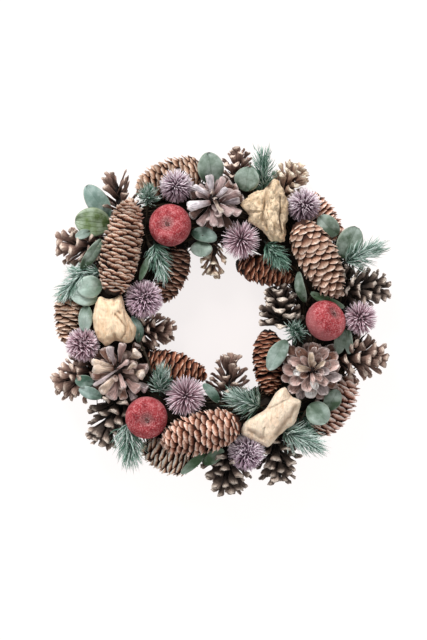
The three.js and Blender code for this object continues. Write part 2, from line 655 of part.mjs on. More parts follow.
/** A slim stem whose every face is drawn out to a needle that leans towards the tip. */
function needleSpray({ base, tip, needle }, random) {
  const length = vector(base).distanceTo(vector(tip));
  const bands = Math.max(SPRAY_BANDS_AT_LEAST, Math.round(length / SPRAY_BAND));
  const points = [];
  const triangles = [];
  const corner = (ring, side) => ring * SPRAY_SIDES + (side % SPRAY_SIDES);
  for (let ring = 0; ring <= bands; ring += 1) {
    for (let side = 0; side < SPRAY_SIDES; side += 1) {
      const angle = ((2 * side + ring) * Math.PI) / SPRAY_SIDES;
      const radius = SPRAY_CORE_RADIUS * (1 - (SPRAY_CORE_TAPER * ring) / bands);
      const height = (length * ring) / bands;
      points.push(new THREE.Vector3(radius * Math.cos(angle), radius * Math.sin(angle), height));
    }
  }
  const drawOut = (a, b, c, t) => {
    const middle = new THREE.Vector3().add(points[a]).add(points[b]).add(points[c]).divideScalar(3);
    const lean = THREE.MathUtils.degToRad(NEEDLE_LEAN_AT_ROOT - NEEDLE_LEAN_CLOSING * t);
    const out = new THREE.Vector3(middle.x, middle.y, 0).normalize().multiplyScalar(Math.sin(lean));
    out.z = Math.cos(lean);
    const reach = needle * (NEEDLE_SHORTEST + NEEDLE_SPREAD * random());
    points.push(middle.clone().addScaledVector(out, reach));
    const end = points.length - 1;
    triangles.push([a, b, end], [b, c, end], [c, a, end]);
  };
  for (let ring = 0; ring < bands; ring += 1) {
    for (let side = 0; side < SPRAY_SIDES; side += 1) {
      const t = ring / bands;
      drawOut(corner(ring, side), corner(ring, side + 1), corner(ring + 1, side), t);
      drawOut(corner(ring, side + 1), corner(ring + 1, side + 1), corner(ring + 1, side), t);
    }
  }
  const basePole = points.push(new THREE.Vector3(0, 0, -SPRAY_ROOT)) - 1;
  const tipPole = points.push(new THREE.Vector3(0, 0, length + needle * TIP_NEEDLE_SHARE)) - 1;
  for (let side = 0; side < SPRAY_SIDES; side += 1) {
    triangles.push([basePole, corner(0, side + 1), corner(0, side)]);
    triangles.push([tipPole, corner(bands, side), corner(bands, side + 1)]);
  }
  return placedAlong(facingOut(geometryFrom(points, triangles)), base, tip);
}

const STEM_RADIUS = 1.7;
const STEM_SIDES = 4;
const STEM_STEPS_PER_POINT = 1;

function stemTube(route) {
  const section = new THREE.Shape();
  for (let i = 0; i < STEM_SIDES; i += 1) {
    const angle = (2 * Math.PI * i) / STEM_SIDES;
    const place = [STEM_RADIUS * Math.cos(angle), STEM_RADIUS * Math.sin(angle)];
    if (i === 0) {
      section.moveTo(...place);
    } else {
      section.lineTo(...place);
    }
  }
  const path = new THREE.CatmullRomCurve3(route.map(vector));
  const steps = STEM_STEPS_PER_POINT * (route.length - 1);
  const tube = new THREE.ExtrudeGeometry(section, { steps, extrudePath: path, bevelEnabled: false });
  return facingOut(welded(tube));
}

// The wreath. Each piece is cut back to a small gap from the ring and from the pieces placed before it.

const wreath = new THREE.Group();
const settled = [];

function addNode(name, geometry, finish) {
  geometry.computeVertexNormals();
  const mesh = new THREE.Mesh(geometry, new THREE.MeshStandardMaterial(FINISHES[finish]));
  mesh.name = name;
  wreath.add(mesh);
}

function boxOf(geometry) {
  geometry.computeBoundingBox();
  return geometry.boundingBox;
}

/** Cuts a piece clear of all that is in place, adds it, and keeps its skins for the pieces after it. */
function settle(name, pieces, finish) {
  let solid = toSolid(pieces[0]);
  pieces.slice(1).forEach((piece) => {
    solid = solid.add(toSolid(piece));
  });
  const box = new THREE.Box3();
  pieces.forEach((piece) => box.union(boxOf(piece)));
  settled.filter((other) => other.box.intersectsBox(box)).forEach((other) => {
    solid = solid.subtract(other.solid);
  });
  addNode(name, largestBody(toGeometry(solid)), finish);
  pieces.forEach((piece) => {
    const skin = envelope(piece, GAP);
    settled.push({ box: boxOf(skin), solid: toSolid(skin) });
  });
}

addNode("ring", ringShape(0), "ring");
const ringSkin = ringShape(GAP);
settled.push({ box: boxOf(ringSkin), solid: toSolid(ringSkin) });

const LARGE_CONES = 3;
const GREY_CONES = 3;

APPLES.forEach((row) => settle(row.name, [apple(row)], "apple"));
SPRUCE_CONES.slice(0, LARGE_CONES).forEach((row) => settle(row.name, [spruceCone(row)], "spruce"));
PINE_CONES.slice(0, GREY_CONES).forEach((row) => settle(row.name, [pineCone(row)], "greyPine"));
HUSKS.forEach((row) => settle(row.name, [husk(row)], "husk"));
THISTLE_HEADS.forEach((row) => settle(row.name, [thistleHead(row)], "thistle"));
SPRUCE_CONES.slice(LARGE_CONES).forEach((row) => settle(row.name, [spruceCone(row)], "spruce"));
PINE_CONES.slice(GREY_CONES).forEach((row) => settle(row.name, [pineCone(row)], "pine"));
SPRIGS.forEach((row, i) => {
  const random = randomSource(i + 1);
  const sprays = (row.sprays ?? []).map((spray) => needleSpray(spray, random));
  const leaves = (row.leaves ?? []).map(leafBlade);
  settle(row.name, [...row.stems.map(stemTube), ...sprays, ...leaves], "greenery");
});

const whole = new THREE.Box3().setFromObject(wreath);
const middle = whole.getCenter(new THREE.Vector3());
wreath.position.set(-middle.x, -middle.y, -whole.min.z);
wreath.updateMatrixWorld(true);

export default wreath;
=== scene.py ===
# %% [markdown]
# # A pinecone wreath, dressed in Blender
# A wreath like this is a ring of bound straw on which dried things are glued until nothing of the ring
# shows: long spruce cones, opened pine cones, thistle heads, small sugared apples, pale seed husks, and
# sprigs of eucalyptus and spruce needles with frost on them. Its plain solids come from the CAD. This
# lesson gives each of them the scales, spines, needles and finish of the real thing, in the same place.
# Most of it repeats by a rule, so most of it is grown by Geometry Nodes.

# %% Load the frame
import json
import math
import bmesh
import bpy
from mathutils import Matrix, Vector, noise

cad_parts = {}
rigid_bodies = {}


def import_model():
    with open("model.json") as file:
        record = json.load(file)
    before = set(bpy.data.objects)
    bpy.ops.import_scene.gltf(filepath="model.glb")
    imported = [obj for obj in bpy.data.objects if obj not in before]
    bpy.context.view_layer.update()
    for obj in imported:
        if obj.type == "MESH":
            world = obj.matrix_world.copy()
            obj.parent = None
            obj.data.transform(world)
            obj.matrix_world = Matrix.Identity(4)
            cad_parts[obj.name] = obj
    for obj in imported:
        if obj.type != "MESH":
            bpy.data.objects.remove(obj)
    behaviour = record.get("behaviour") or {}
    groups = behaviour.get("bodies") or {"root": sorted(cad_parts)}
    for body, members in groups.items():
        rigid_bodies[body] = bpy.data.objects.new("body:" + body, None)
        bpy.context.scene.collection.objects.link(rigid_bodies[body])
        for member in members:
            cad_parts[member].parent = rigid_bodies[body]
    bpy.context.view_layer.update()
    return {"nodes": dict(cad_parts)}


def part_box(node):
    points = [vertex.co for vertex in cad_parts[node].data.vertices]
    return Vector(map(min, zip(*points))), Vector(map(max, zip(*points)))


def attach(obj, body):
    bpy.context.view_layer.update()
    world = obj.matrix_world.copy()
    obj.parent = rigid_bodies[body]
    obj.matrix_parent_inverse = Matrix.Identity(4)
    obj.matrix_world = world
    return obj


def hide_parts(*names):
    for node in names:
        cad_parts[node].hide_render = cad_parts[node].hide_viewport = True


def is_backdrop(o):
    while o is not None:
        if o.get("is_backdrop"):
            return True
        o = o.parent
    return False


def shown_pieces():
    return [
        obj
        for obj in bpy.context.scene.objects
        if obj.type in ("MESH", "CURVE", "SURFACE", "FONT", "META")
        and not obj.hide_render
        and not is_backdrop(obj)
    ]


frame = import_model()
print("CAD nodes:", len(frame["nodes"]))

# %% [markdown]
# The tables below give places in millimetres from the middle of the ring, because that is how such a
# wreath is laid out on the bench. The frame is in metres and centred on the whole wreath, so one helper
# turns a bench place into a frame place. The ring's own box says where its middle is.

# %% Places
MM = 0.001
ring_low, ring_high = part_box("ring")
BENCH_MIDDLE = Vector(((ring_low[0] + ring_high[0]) / 2, (ring_low[1] + ring_high[1]) / 2, 0.0))


def at(place):
    """A place on the bench, in millimetres, as a place in the frame, in metres."""
    return Vector(place) * MM + BENCH_MIDDLE


print("Middle of the ring:", [round(v, 5) for v in BENCH_MIDDLE])

# %% [markdown]
# Colours are read more easily as the numbers of a paint chart, 0 to 255, so they are written so and
# turned to the linear numbers that shaders use.

# %% Colours
def paint(red, green, blue):
    """A colour of the chart as the linear colour of a shader."""
    def linear(value):
        value /= 255
        return value / 12.92 if value <= 0.04045 else ((value + 0.055) / 1.055) ** 2.4
    return (linear(red), linear(green), linear(blue), 1.0)


def painted(stops):
    """Rows of (place, chart colour) as rows of (place, linear colour)."""
    return [(place, paint(*colour)) for place, colour in stops]


def grey(level):
    return (level, level, level, 1.0)


print("Chart grey 128 is linear", round(paint(128, 128, 128)[0], 3))

# %% [markdown]
# Node trees are full of small sums. So that they can be written as sums, what a node puts out is held in
# an Output, and every plus, minus, times or division with an Output adds the Math node that does it.

# %% Node helpers
class Output:
    """What a node puts out."""

    def __init__(self, socket):
        self.socket = socket

    def __add__(self, other):
        return calc("ADD", self, other)

    def __radd__(self, other):
        return calc("ADD", other, self)

    def __sub__(self, other):
        return calc("SUBTRACT", self, other)

    def __rsub__(self, other):
        return calc("SUBTRACT", other, self)

    def __mul__(self, other):
        return calc("MULTIPLY", self, other)

    def __rmul__(self, other):
        return calc("MULTIPLY", other, self)

    def __truediv__(self, other):
        return calc("DIVIDE", self, other)

    def within_one(self):
        """The same number, which its Math node now holds between 0 and 1."""
        self.socket.node.use_clamp = True
        return self


def give(node, name, value):
    """Links an Output to an input of a node, or sets the input to a plain value."""
    if isinstance(value, Output):
        node.id_data.links.new(value.socket, node.inputs[name])
    else:
        node.inputs[name].default_value = value


def put(tree, kind, inputs=None, **settings):
    """Adds a node. inputs says what each of its sockets is given, by name or number."""
    node = tree.nodes.new(kind)
    for name, value in settings.items():
        setattr(node, name, value)
    for name, value in (inputs or {}).items():
        give(node, name, value)
    return node


def got(tree, kind, inputs=None, output=0, **settings):
    """Adds a node and returns one of its outputs."""
    return Output(put(tree, kind, inputs, **settings).outputs[output])


def tree_of(*values):
    """The tree that holds the first Output among the values."""
    return next(value.socket.id_data for value in values if isinstance(value, Output))


def calc(operation, *values):
    """One Math node."""
    return got(tree_of(*values), "ShaderNodeMath", dict(enumerate(values)), operation=operation)


def vector_of(x, y, z):
    return got(tree_of(x, y, z), "ShaderNodeCombineXYZ", {0: x, 1: y, 2: z})


def parts_of(vector):
    """The three numbers of a vector."""
    node = put(tree_of(vector), "ShaderNodeSeparateXYZ", {0: vector})
    return [Output(socket) for socket in node.outputs]


# %% [markdown]
# Every finish starts from the same shader, and reads the place on the object. Every piece is an object
# with one mesh and its finish.

# %% Finish and object helpers
def new_finish(name, roughness, specular=0.3):
    material = bpy.data.materials.new(name)
    material.use_nodes = True
    shader = material.node_tree.nodes["Principled BSDF"]
    give(shader, "Roughness", roughness)
    give(shader, "Specular IOR Level", specular)
    return material, material.node_tree, shader


def object_place(tree):
    """The place on the object, in its own coordinates."""
    return got(tree, "ShaderNodeTexCoord", output="Object")


def dressed(name, mesh, material):
    """An object with this mesh and this finish."""
    piece = bpy.data.objects.new(name, mesh)
    bpy.context.collection.objects.link(piece)
    mesh.materials.append(material)
    return piece


# %% [markdown]
# ## The light and the camera
# The photo was taken from straight in front, in soft light with almost no shadow, on white. So the
# wreath lies on a pale floor that glows a little, less under the wreath than around it. The camera looks
# straight down, and two soft lamps help a bright sky.

# %% Camera
IMAGE_HEIGHT = 640
MM_PER_PIXEL = 1.05
CAMERA_HEIGHT = 2.4
CAMERA_REACH = 20
FOCUS_LEVEL = 0.045
SENSOR = 36.0
VIEW_CENTRE = Vector((-0.0073, 0.0003, FOCUS_LEVEL))

camera_data = bpy.data.cameras.new("camera")
camera_data.sensor_fit = "VERTICAL"
camera_data.sensor_height = SENSOR
camera_data.lens = SENSOR * CAMERA_HEIGHT / (IMAGE_HEIGHT * MM_PER_PIXEL * MM)
camera_data.clip_end = CAMERA_REACH
camera = bpy.data.objects.new("camera", camera_data)
camera.location = VIEW_CENTRE + Vector((0, 0, CAMERA_HEIGHT))
bpy.context.collection.objects.link(camera)
bpy.context.scene.camera = camera
print("Lens:", round(camera_data.lens, 1), "mm")

# %% Floor
FLOOR_HALF = 4
GLOW_DISTANCES = (0.08, 0.155)
GLOW_STRENGTHS = (0.86, 0.99)

floor_finish, tree, shader = new_finish("pale floor", 0.9, 0.5)
give(shader, "Base Color", paint(84, 78, 76))
give(shader, "Emission Color", paint(255, 250, 249))
# The glow is painted light: it rises to nearly full strength around the wreath and washes out its shadow
# there. It is weaker in the hole of the ring, which is painted shade.
distance = got(tree, "ShaderNodeVectorMath", {0: object_place(tree)}, "Value", operation="LENGTH")
limits = GLOW_DISTANCES + GLOW_STRENGTHS
glow = got(tree, "ShaderNodeMapRange", {0: distance, **dict(enumerate(limits, start=1))})
give(shader, "Emission Strength", glow)
floor_mesh = bpy.data.meshes.new("floor")
corners = [(x * FLOOR_HALF, y * FLOOR_HALF, 0) for x, y in ((-1, -1), (1, -1), (1, 1), (-1, 1))]
floor_mesh.from_pydata(corners, [], [(0, 1, 2, 3)])
floor = dressed("floor", floor_mesh, floor_finish)
floor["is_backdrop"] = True
print("Floor:", 2 * FLOOR_HALF, "m wide")

# %% Lamps and sky
LAMP_TARGET = Vector((0, 0, 0.03))
SKY_COLOUR = (1.0, 0.99, 0.985, 1.0)
SKY_STRENGTH = 0.46
# Each lamp has its name, its place, its width and its power.
LAMPS = [
    ("window lamp", (-0.7, 1.6, 1.4), 0.8, 46),
    ("fill lamp", (0.9, -0.5, 2.2), 1.4, 9),
]
for name, spot, size, power in LAMPS:
    lamp_data = bpy.data.lights.new(name, "AREA")
    lamp_data.size = size
    lamp_data.energy = power
    lamp = bpy.data.objects.new(name, lamp_data)
    lamp.location = spot
    lamp.rotation_euler = (LAMP_TARGET - Vector(spot)).to_track_quat("-Z", "Y").to_euler()
    bpy.context.collection.objects.link(lamp)
world = bpy.data.worlds.new("bright sky")
world.use_nodes = True
sky = world.node_tree.nodes["Background"]
give(sky, "Color", SKY_COLOUR)
give(sky, "Strength", SKY_STRENGTH)
bpy.context.scene.world = world
bpy.context.scene.view_settings.view_transform = "Standard"
print("Lamps:", len(LAMPS))

# %% [markdown]
# ## A blank form for what repeats
# Scales, needles, spines, leaves, husks and apples are all closed forms: a row of cross sections, closed
# at both ends. One helper skins such a row, and can write numbers on every corner, which the finishes
# read later. On a scale they say how far the corner is along it, and how far out to its side.

# %% Forms from cross sections
def write_mark(mesh, name, values):
    """Keeps a number for every corner under a name."""
    mesh.attributes.new(name, "FLOAT", "POINT").data.foreach_set("value", values)


def write_tint(mesh, tint):
    """Keeps one colour on all corners."""
    colours = mesh.attributes.new("tint", "FLOAT_COLOR", "POINT")
    colours.data.foreach_set("color", list(tint) * len(mesh.vertices))


def face_outwards(mesh):
    form = bmesh.new()
    form.from_mesh(mesh)
    bmesh.ops.recalc_face_normals(form, faces=form.faces)
    form.to_mesh(mesh)
    form.free()


def skinned(name, sections, marks=None):
    """A closed mesh through sections, which have the same number of corners. marks has, for each name,
    a row of numbers for every section."""
    sides = len(sections[0])
    corners = [tuple(corner) for section in sections for corner in section]
    faces = []
    for row in range(len(sections) - 1):
        for side in range(sides):
            a = row * sides + side
            b = row * sides + (side + 1) % sides
            faces.append((a, b, b + sides, a + sides))
    for row in (0, len(sections) - 1):
        pole = len(corners)
        corners.append(tuple(sum((Vector(c) for c in sections[row]), Vector()) / sides))
        for side in range(sides):
            a = row * sides + side
            b = row * sides + (side + 1) % sides
            faces.append((b, a, pole) if row == 0 else (a, b, pole))
    mesh = bpy.data.meshes.new(name)
    mesh.from_pydata(corners, [], faces)
    for mark_name, rows in (marks or {}).items():
        values = [value for row in rows for value in row]
        values += [sum(rows[0]) / sides, sum(rows[-1]) / sides]
        write_mark(mesh, mark_name, values)
    face_outwards(mesh)
    mesh.shade_smooth()
    return mesh


CRISP = math.radians(48)
THINNER_SIDES = 0.75


def scale_pattern(name, across, cup, curl, rows):
    """A scale one unit long along Y and one unit wide along X. Z is its outer side.
    rows has (place along, half width, thickness), across is the number of steps over its width, cup bends
    its sides inwards and curl lifts its tip outwards. Edges sharper than CRISP stay crisp."""
    steps = [-1 + 2 * k / across for k in range(across + 1)]
    taper = [1 - THINNER_SIDES * s * s for s in steps]
    sections = []
    for along, half, thick in rows:
        bend = [-cup * (half * s) ** 2 * 4 + curl * along ** 3 for s in steps]
        upper = [(half * s, along, b + thick * t / 2) for s, b, t in zip(steps, bend, taper)]
        lower = [(half * s, along, b - thick * t / 2) for s, b, t in zip(steps, bend, taper)]
        sections.append(upper + lower[::-1])
    marks = {"along": [[along] * (2 * len(steps)) for along, half, thick in rows],
             "across": [[abs(s) for s in steps + steps[::-1]]] * len(rows)}
    pattern = bpy.data.objects.new(name, skinned(name, sections, marks))
    pattern.data.set_sharp_from_angle(angle=CRISP)
    bpy.context.collection.objects.link(pattern)
    print(name, len(pattern.data.polygons), "faces")
    return pattern


# %% [markdown]
# A spruce scale is a thin shell with a lobed tip. A pine scale is a finger that ends in a thick diamond.
# The grey cones show their scales from within: blunt fingers on one, round clubs and fans on the others.

# %% Patterns of scales, needles and spines
spruce_scale = scale_pattern("spruce scale pattern", 4, 0.1, 0.02, [
    (0, 0.14, 0.07), (0.4, 0.38, 0.06), (0.66, 0.5, 0.05), (0.82, 0.47, 0.045), (0.93, 0.33, 0.04),
    (1, 0.1, 0.02)])
pine_scale = scale_pattern("pine scale pattern", 4, 0.2, 0.02, [
    (0, 0.16, 0.24), (0.35, 0.22, 0.18), (0.65, 0.38, 0.17), (0.85, 0.5, 0.26), (0.95, 0.46, 0.32),
    (1, 0.26, 0.2)])
finger_scale = scale_pattern("finger scale pattern", 6, 0.2, 0.06, [
    (0, 0.26, 0.24), (0.2, 0.32, 0.22), (0.5, 0.4, 0.2), (0.8, 0.5, 0.26), (0.93, 0.44, 0.26),
    (1, 0.22, 0.14)])
club_scale = scale_pattern("club scale pattern", 6, 0.16, 0.04, [
    (0, 0.2, 0.2), (0.28, 0.28, 0.2), (0.52, 0.38, 0.24), (0.7, 0.48, 0.36), (0.82, 0.5, 0.52),
    (0.92, 0.42, 0.56), (0.98, 0.26, 0.4), (1, 0.1, 0.16)])
fan_scale = scale_pattern("fan scale pattern", 6, 0.5, 0.06, [
    (0, 0.22, 0.1), (0.25, 0.36, 0.09), (0.5, 0.48, 0.08), (0.78, 0.5, 0.09), (0.92, 0.4, 0.08),
    (1, 0.24, 0.04)])
needle = scale_pattern("needle pattern", 2, 0.5, -2.8, [
    (0, 0.32, 0.6), (0.35, 0.5, 0.7), (0.72, 0.42, 0.6), (1, 0.06, 0.1)])
spine = scale_pattern("spine pattern", 2, 0.0, 0.0, [
    (0, 0.5, 0.9), (0.35, 0.42, 0.8), (0.75, 0.36, 0.7), (1, 0.14, 0.2)])
straw = scale_pattern("straw pattern", 2, 0.0, 0.0, [(0, 0.3, 0.6), (0.5, 0.5, 0.8), (1, 0.3, 0.5)])
PATTERNS = [spruce_scale, pine_scale, finger_scale, club_scale, fan_scale, needle, spine, straw]

# %% [markdown]
# ## One rule for cones, heads and sprays
# Plants set their scales one after another, each turned by the golden angle from the last. That rule
# alone gives the crossing spirals of a cone. So one Geometry Nodes tree sets copies of a pattern round an
# axis, and a profile decides, for the place t along the axis, where a copy stands, how far it leans out,
# and how long and wide it is. Spruce cones, pine cones, thistle heads and sprays of needles each have a
# profile of their own.

# %% Steps that all trees share
def new_tree(name, wanted):
    """An empty tree with named inputs. wanted has rows of (name, kind of socket, first value)."""
    tree = bpy.data.node_groups.new(name, "GeometryNodeTree")
    tree.interface.new_socket("Geometry", in_out="INPUT", socket_type="NodeSocketGeometry")
    for label, kind, value in wanted:
        socket = tree.interface.new_socket(label, in_out="INPUT", socket_type="NodeSocket" + kind)
        if value is not None:
            socket.default_value = value
    tree.interface.new_socket("Geometry", in_out="OUTPUT", socket_type="NodeSocketGeometry")
    given = {socket.name: Output(socket) for socket in put(tree, "NodeGroupInput").outputs}
    return tree, given


def chance(given, low, high, seed):
    """A number between low and high for each copy, the same in every run."""
    seeds = given["Seed"] + float(seed)
    return got(tree_of(seeds), "FunctionNodeRandomValue", {2: low, 3: high, "Seed": seeds}, 1,
               data_type="FLOAT")


def moved(tree, geometry, how, vector):
    """how is Position, for where every corner goes, or Offset, for how far it moves."""
    return got(tree, "GeometryNodeSetPosition", {"Geometry": geometry, how: vector})


def aimed(tree, direction, outer):
    """The turn that lays a pattern's length along one direction and its outer side along the other."""
    return got(tree, "FunctionNodeAxesToRotation", {0: direction, 1: outer}, primary_axis="Y",
               secondary_axis="Z")


def copies_at(tree, given, roots, turns, sizes, marks):
    """Copies of the pattern. marks has numbers that are written on every copy under a name."""
    line = got(tree, "GeometryNodeMeshLine", {"Count": given["Count"]})
    line = moved(tree, line, "Position", roots)
    for name, value in marks.items():
        line = got(tree, "GeometryNodeStoreNamedAttribute",
                   {"Geometry": line, "Name": name, "Value": value}, data_type="FLOAT", domain="POINT")
    pattern = got(tree, "GeometryNodeObjectInfo", {"Object": given["Pattern"], "As Instance": True},
                  "Geometry")
    return got(tree, "GeometryNodeInstanceOnPoints", {
        "Points": line, "Instance": pattern, "Rotation": turns, "Scale": sizes})


def finish_tree(tree, given, geometry):
    """Puts the finish on and ends the tree."""
    finished = got(tree, "GeometryNodeSetMaterial", {"Geometry": geometry, "Material": given["Finish"]})
    put(tree, "NodeGroupOutput", {0: finished})
    print("Tree", tree.name, "has", len(tree.nodes), "nodes")


# %% The tree that sets copies round an axis
GOLDEN_ANGLE = math.radians(137.508)
TURN_ERROR = 0.07
CORE_SIDES = 12
CORE_RINGS = 8
GRAIN_SCALE = 170.0
TABLE_CLEARANCE = 0.4 * MM


def set_round_axis(name, profile, extra=()):
    """The tree. profile(given, t) returns radius, height, lean, length and width for the copies, and
    core(rise), which returns the core's radius and its height."""
    wanted = [("Pattern", "Object", None), ("Finish", "Material", None), ("Count", "Int", 100),
              ("Length", "Float", 0.1), ("Width", "Float", 0.04), ("Piece length", "Float", 0.015),
              ("Piece width", "Float", 0.012), ("Loose", "Float", 0.08), ("Seed", "Int", 0),
              ("Core radius", "Float", 0.01), ("Frost", "Float", 0.0), ("Base", "Vector", (0, 0, 0)),
              ("Tip", "Vector", (0, 0, 0.1)), ("Uneven", "Float", 0.1), ("Ragged", "Float", 0.002)]
    tree, given = new_tree(name, wanted + list(extra))

    # The copies, each with its place, its turn and its size.
    loose = given["Loose"]
    index = got(tree, "GeometryNodeInputIndex")
    t = (index + 0.5) / given["Count"]
    place = profile(given, t)
    turn = index * GOLDEN_ANGLE + chance(given, -TURN_ERROR, TURN_ERROR, 1)
    cosine, sine = calc("COSINE", turn), calc("SINE", turn)
    lean = place["lean"] + loose * chance(given, -1.0, 1.0, 2)
    out, ahead = calc("SINE", lean), calc("COSINE", lean)
    direction = vector_of(out * cosine, out * sine, ahead)
    outer = vector_of(ahead * cosine, ahead * sine, out * -1.0)
    root = vector_of(place["radius"] * cosine, place["radius"] * sine, place["height"])
    wobble = got(tree, "FunctionNodeEulerToRotation", {
        0: vector_of(0.0, loose * chance(given, -2.0, 2.0, 3), loose * chance(given, -1.0, 1.0, 4))})
    facing = got(tree, "FunctionNodeRotateRotation", {0: aimed(tree, direction, outer), 1: wobble},
                 rotation_space="LOCAL")
    size = 1.0 + given["Uneven"] * chance(given, -1.2, 1.0, 5)
    width = place["width"] * size
    # The lean towards +Y is kept on every copy. The spine finish darkens the side of a thistle head that
    # leans away from +Y and the window lamp, as painted shade.
    marks = {"shade": chance(given, 0.0, 1.0, 6), "station": t, "frost": given["Frost"],
             "skyward": out * sine}
    copies = copies_at(tree, given, root, facing, vector_of(width, place["length"] * size, width), marks)

    # The core that they are rooted in.
    position = got(tree, "GeometryNodeInputPosition")
    barrel = got(tree, "GeometryNodeMeshCylinder", {
        "Vertices": CORE_SIDES, "Side Segments": CORE_RINGS, "Radius": 1.0, "Depth": 1.0})
    x, y, z = parts_of(position)
    thick, tall = place["core"](z + 0.5)
    barrel = moved(tree, barrel, "Position", vector_of(x * thick, y * thick, tall))

    # Both together are laid between the base and the tip, made real, roughened and kept above the table.
    whole = put(tree, "GeometryNodeJoinGeometry")
    give(whole, 0, copies)
    give(whole, 0, barrel)
    axis = got(tree, "ShaderNodeVectorMath", {0: given["Tip"], 1: given["Base"]}, operation="SUBTRACT")
    along_axis = got(tree, "FunctionNodeAlignRotationToVector", {"Vector": axis}, axis="Z")
    lying = got(tree, "GeometryNodeTransform", {
        "Geometry": Output(whole.outputs[0]), "Translation": given["Base"], "Rotation": along_axis})
    real = got(tree, "GeometryNodeRealizeInstances", {0: lying})
    grain = got(tree, "ShaderNodeTexNoise", {"Vector": position, "Scale": GRAIN_SCALE, "Detail": 1.0},
                "Color")
    push = got(tree, "ShaderNodeVectorMath", {0: grain, 1: (0.5, 0.5, 0.5)}, operation="SUBTRACT")
    push = got(tree, "ShaderNodeVectorMath", {0: push, "Scale": given["Ragged"]}, operation="SCALE")
    real = moved(tree, real, "Offset", push)
    above = vector_of(x, y, calc("MAXIMUM", z, TABLE_CLEARANCE))
    finish_tree(tree, given, moved(tree, real, "Position", above))
    return tree


# %% [markdown]
# A tree is only a recipe. To use it, an empty mesh gets it as a modifier, the modifier's inputs are set,
# and the evaluated result is kept as a plain mesh. The modifier is then taken off again.

# %% Grow a piece from a tree
def grown(name, tree, values):
    """A plain mesh object grown by a tree. values are by the names of the tree's inputs."""
    piece = bpy.data.objects.new(name, bpy.data.meshes.new(name))
    bpy.context.collection.objects.link(piece)
    modifier = piece.modifiers.new(tree.name, "NODES")
    modifier.node_group = tree
    for socket in tree.interface.items_tree:
        if socket.in_out == "INPUT" and socket.name in values:
            modifier[socket.identifier] = values[socket.name]
    bpy.context.view_layer.update()
    view = bpy.context.evaluated_depsgraph_get()
    result = piece.evaluated_get(view)
    mesh = bpy.data.meshes.new_from_object(result, preserve_all_data_layers=True, depsgraph=view)
    piece.modifiers.remove(modifier)
    piece.data = mesh
    mesh.name = name
    return piece


def joined(name, parts):
    """One object from several. It keeps the finish of each part."""
    with bpy.context.temp_override(active_object=parts[0], selected_editable_objects=parts):
        bpy.ops.object.join()
    parts[0].name = name
    return parts[0]


def stands_for(piece, node):
    """The piece takes the place of a CAD node."""
    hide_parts(node)
    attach(piece, "root")
    print(node, len(piece.data.polygons), "faces")


# %% [markdown]
# ## Wood of the cones
# A scale is dark where the next row hides it, which is partly the wood's own colour and partly painted
# shade of the gaps between the rows. It is warmer in the middle and palest at its worn lip, with fine grain
# along it. The finish reads the marks that the pattern and the tree have written, and adds grain from the
# place on the object, so no two scales are alike.

# %% Steps that the finishes share
def ramp(factor, stops):
    """Colours from a number. stops has rows of (place, colour)."""
    node = put(tree_of(factor), "ShaderNodeValToRGB", {0: factor})
    elements = node.color_ramp.elements
    elements[0].position, elements[0].color = stops[0]
    elements[1].position, elements[1].color = stops[-1]
    for place, colour in stops[1:-1]:
        elements.new(place).color = colour
    return Output(node.outputs[0])


def mark(tree, name, output="Fac"):
    """A number or a colour that was written on the mesh."""
    return got(tree, "ShaderNodeAttribute", None, output, attribute_name=name, attribute_type="GEOMETRY")


def mix(factor, first, second, blend="MIX"):
    return got(tree_of(factor, first, second), "ShaderNodeMix", {0: factor, 6: first, 7: second}, 2,
               data_type="RGBA", blend_type=blend)


def speckle(tree, scale, detail=3.0):
    """Noise on Object coordinates, 0 to 1."""
    return got(tree, "ShaderNodeTexNoise", {
        "Vector": object_place(tree), "Scale": scale, "Detail": detail, "Roughness": 0.55})


def stronger(value, factor):
    """Noise hardly leaves its middle, so this spreads it to the whole range from 0 to 1."""
    return ((value - 0.5) * factor + 0.5).within_one()


def streaks_along(along, across, shade, narrow, factor=2.4):
    """Fibres that run from root to lip, other ones on each scale."""
    place = vector_of(across * narrow, along, shade * 37.0)
    fibres = got(tree_of(place), "ShaderNodeTexNoise", {"Vector": place, "Scale": 2.6, "Detail": 4.0})
    return stronger(fibres, factor)


def colour_in(shader, colour, light):
    """Gives the shader a colour that a number makes darker or brighter."""
    give(shader, "Base Color", got(tree_of(light), "ShaderNodeHueSaturation", {
        "Value": light, "Color": colour}))


def raised(shader, height, strength, depth):
    """Bump from a height."""
    give(shader, "Normal", got(tree_of(height), "ShaderNodeBump", {
        "Height": height, "Strength": strength, "Distance": depth}))


# %% Finish of scales
def wood_finish(name, stops, rim, rim_at=0.8, rim_from=0.0, base_pale=0.0):
    """A scale's finish. stops are colours from root to lip, rim is the colour of its sides, which starts
    at the place rim_from along the scale. base_pale makes the first scales of a cone paler."""
    material, tree, shader = new_finish(name, 0.72)
    along, across, shade = mark(tree, "along"), mark(tree, "across"), mark(tree, "shade")
    grain = streaks_along(along, across, shade, 2.4)
    patches = stronger(speckle(tree, 210), 1.6)
    first = (1.0 - mark(tree, "station") * 8.0).within_one()
    shifted = along + (grain - 0.5) * 0.07 + first * base_pale
    colour = ramp(shifted, painted(stops))
    side = ((across - rim_at) * (1 / (1 - rim_at))).within_one()
    if rim_from:
        side = side * ((along - rim_from) * 14.0).within_one()
    colour = mix(side * 0.8, colour, paint(*rim))
    colour_in(shader, colour, (0.75 + shade * 0.5) * (0.66 + patches * 0.68) * (0.78 + grain * 0.44))
    give(shader, "Roughness", 0.55 + grain * 0.35)
    raised(shader, grain + speckle(tree, 900) * 0.5, 0.8, 0.0008)
    return material


def spruce_finish(name, late, gap_shade, brown, middle, pale, lip):
    """Dark on the half of the scale that the next row hides, which is the wood's own darker colour and also
    painted shade of the gap under that row. Pale towards its lip, which is worn wood and also painted
    highlight. late makes the dark, shaded part longer."""
    stops = [(0.57 + late, gap_shade), (0.69 + late, brown), (0.79 + late, middle), (0.9 + late / 2, pale),
             (1.0, lip)]
    return wood_finish(name, stops, pale, rim_at=0.6, rim_from=0.72 + late, base_pale=0.1)


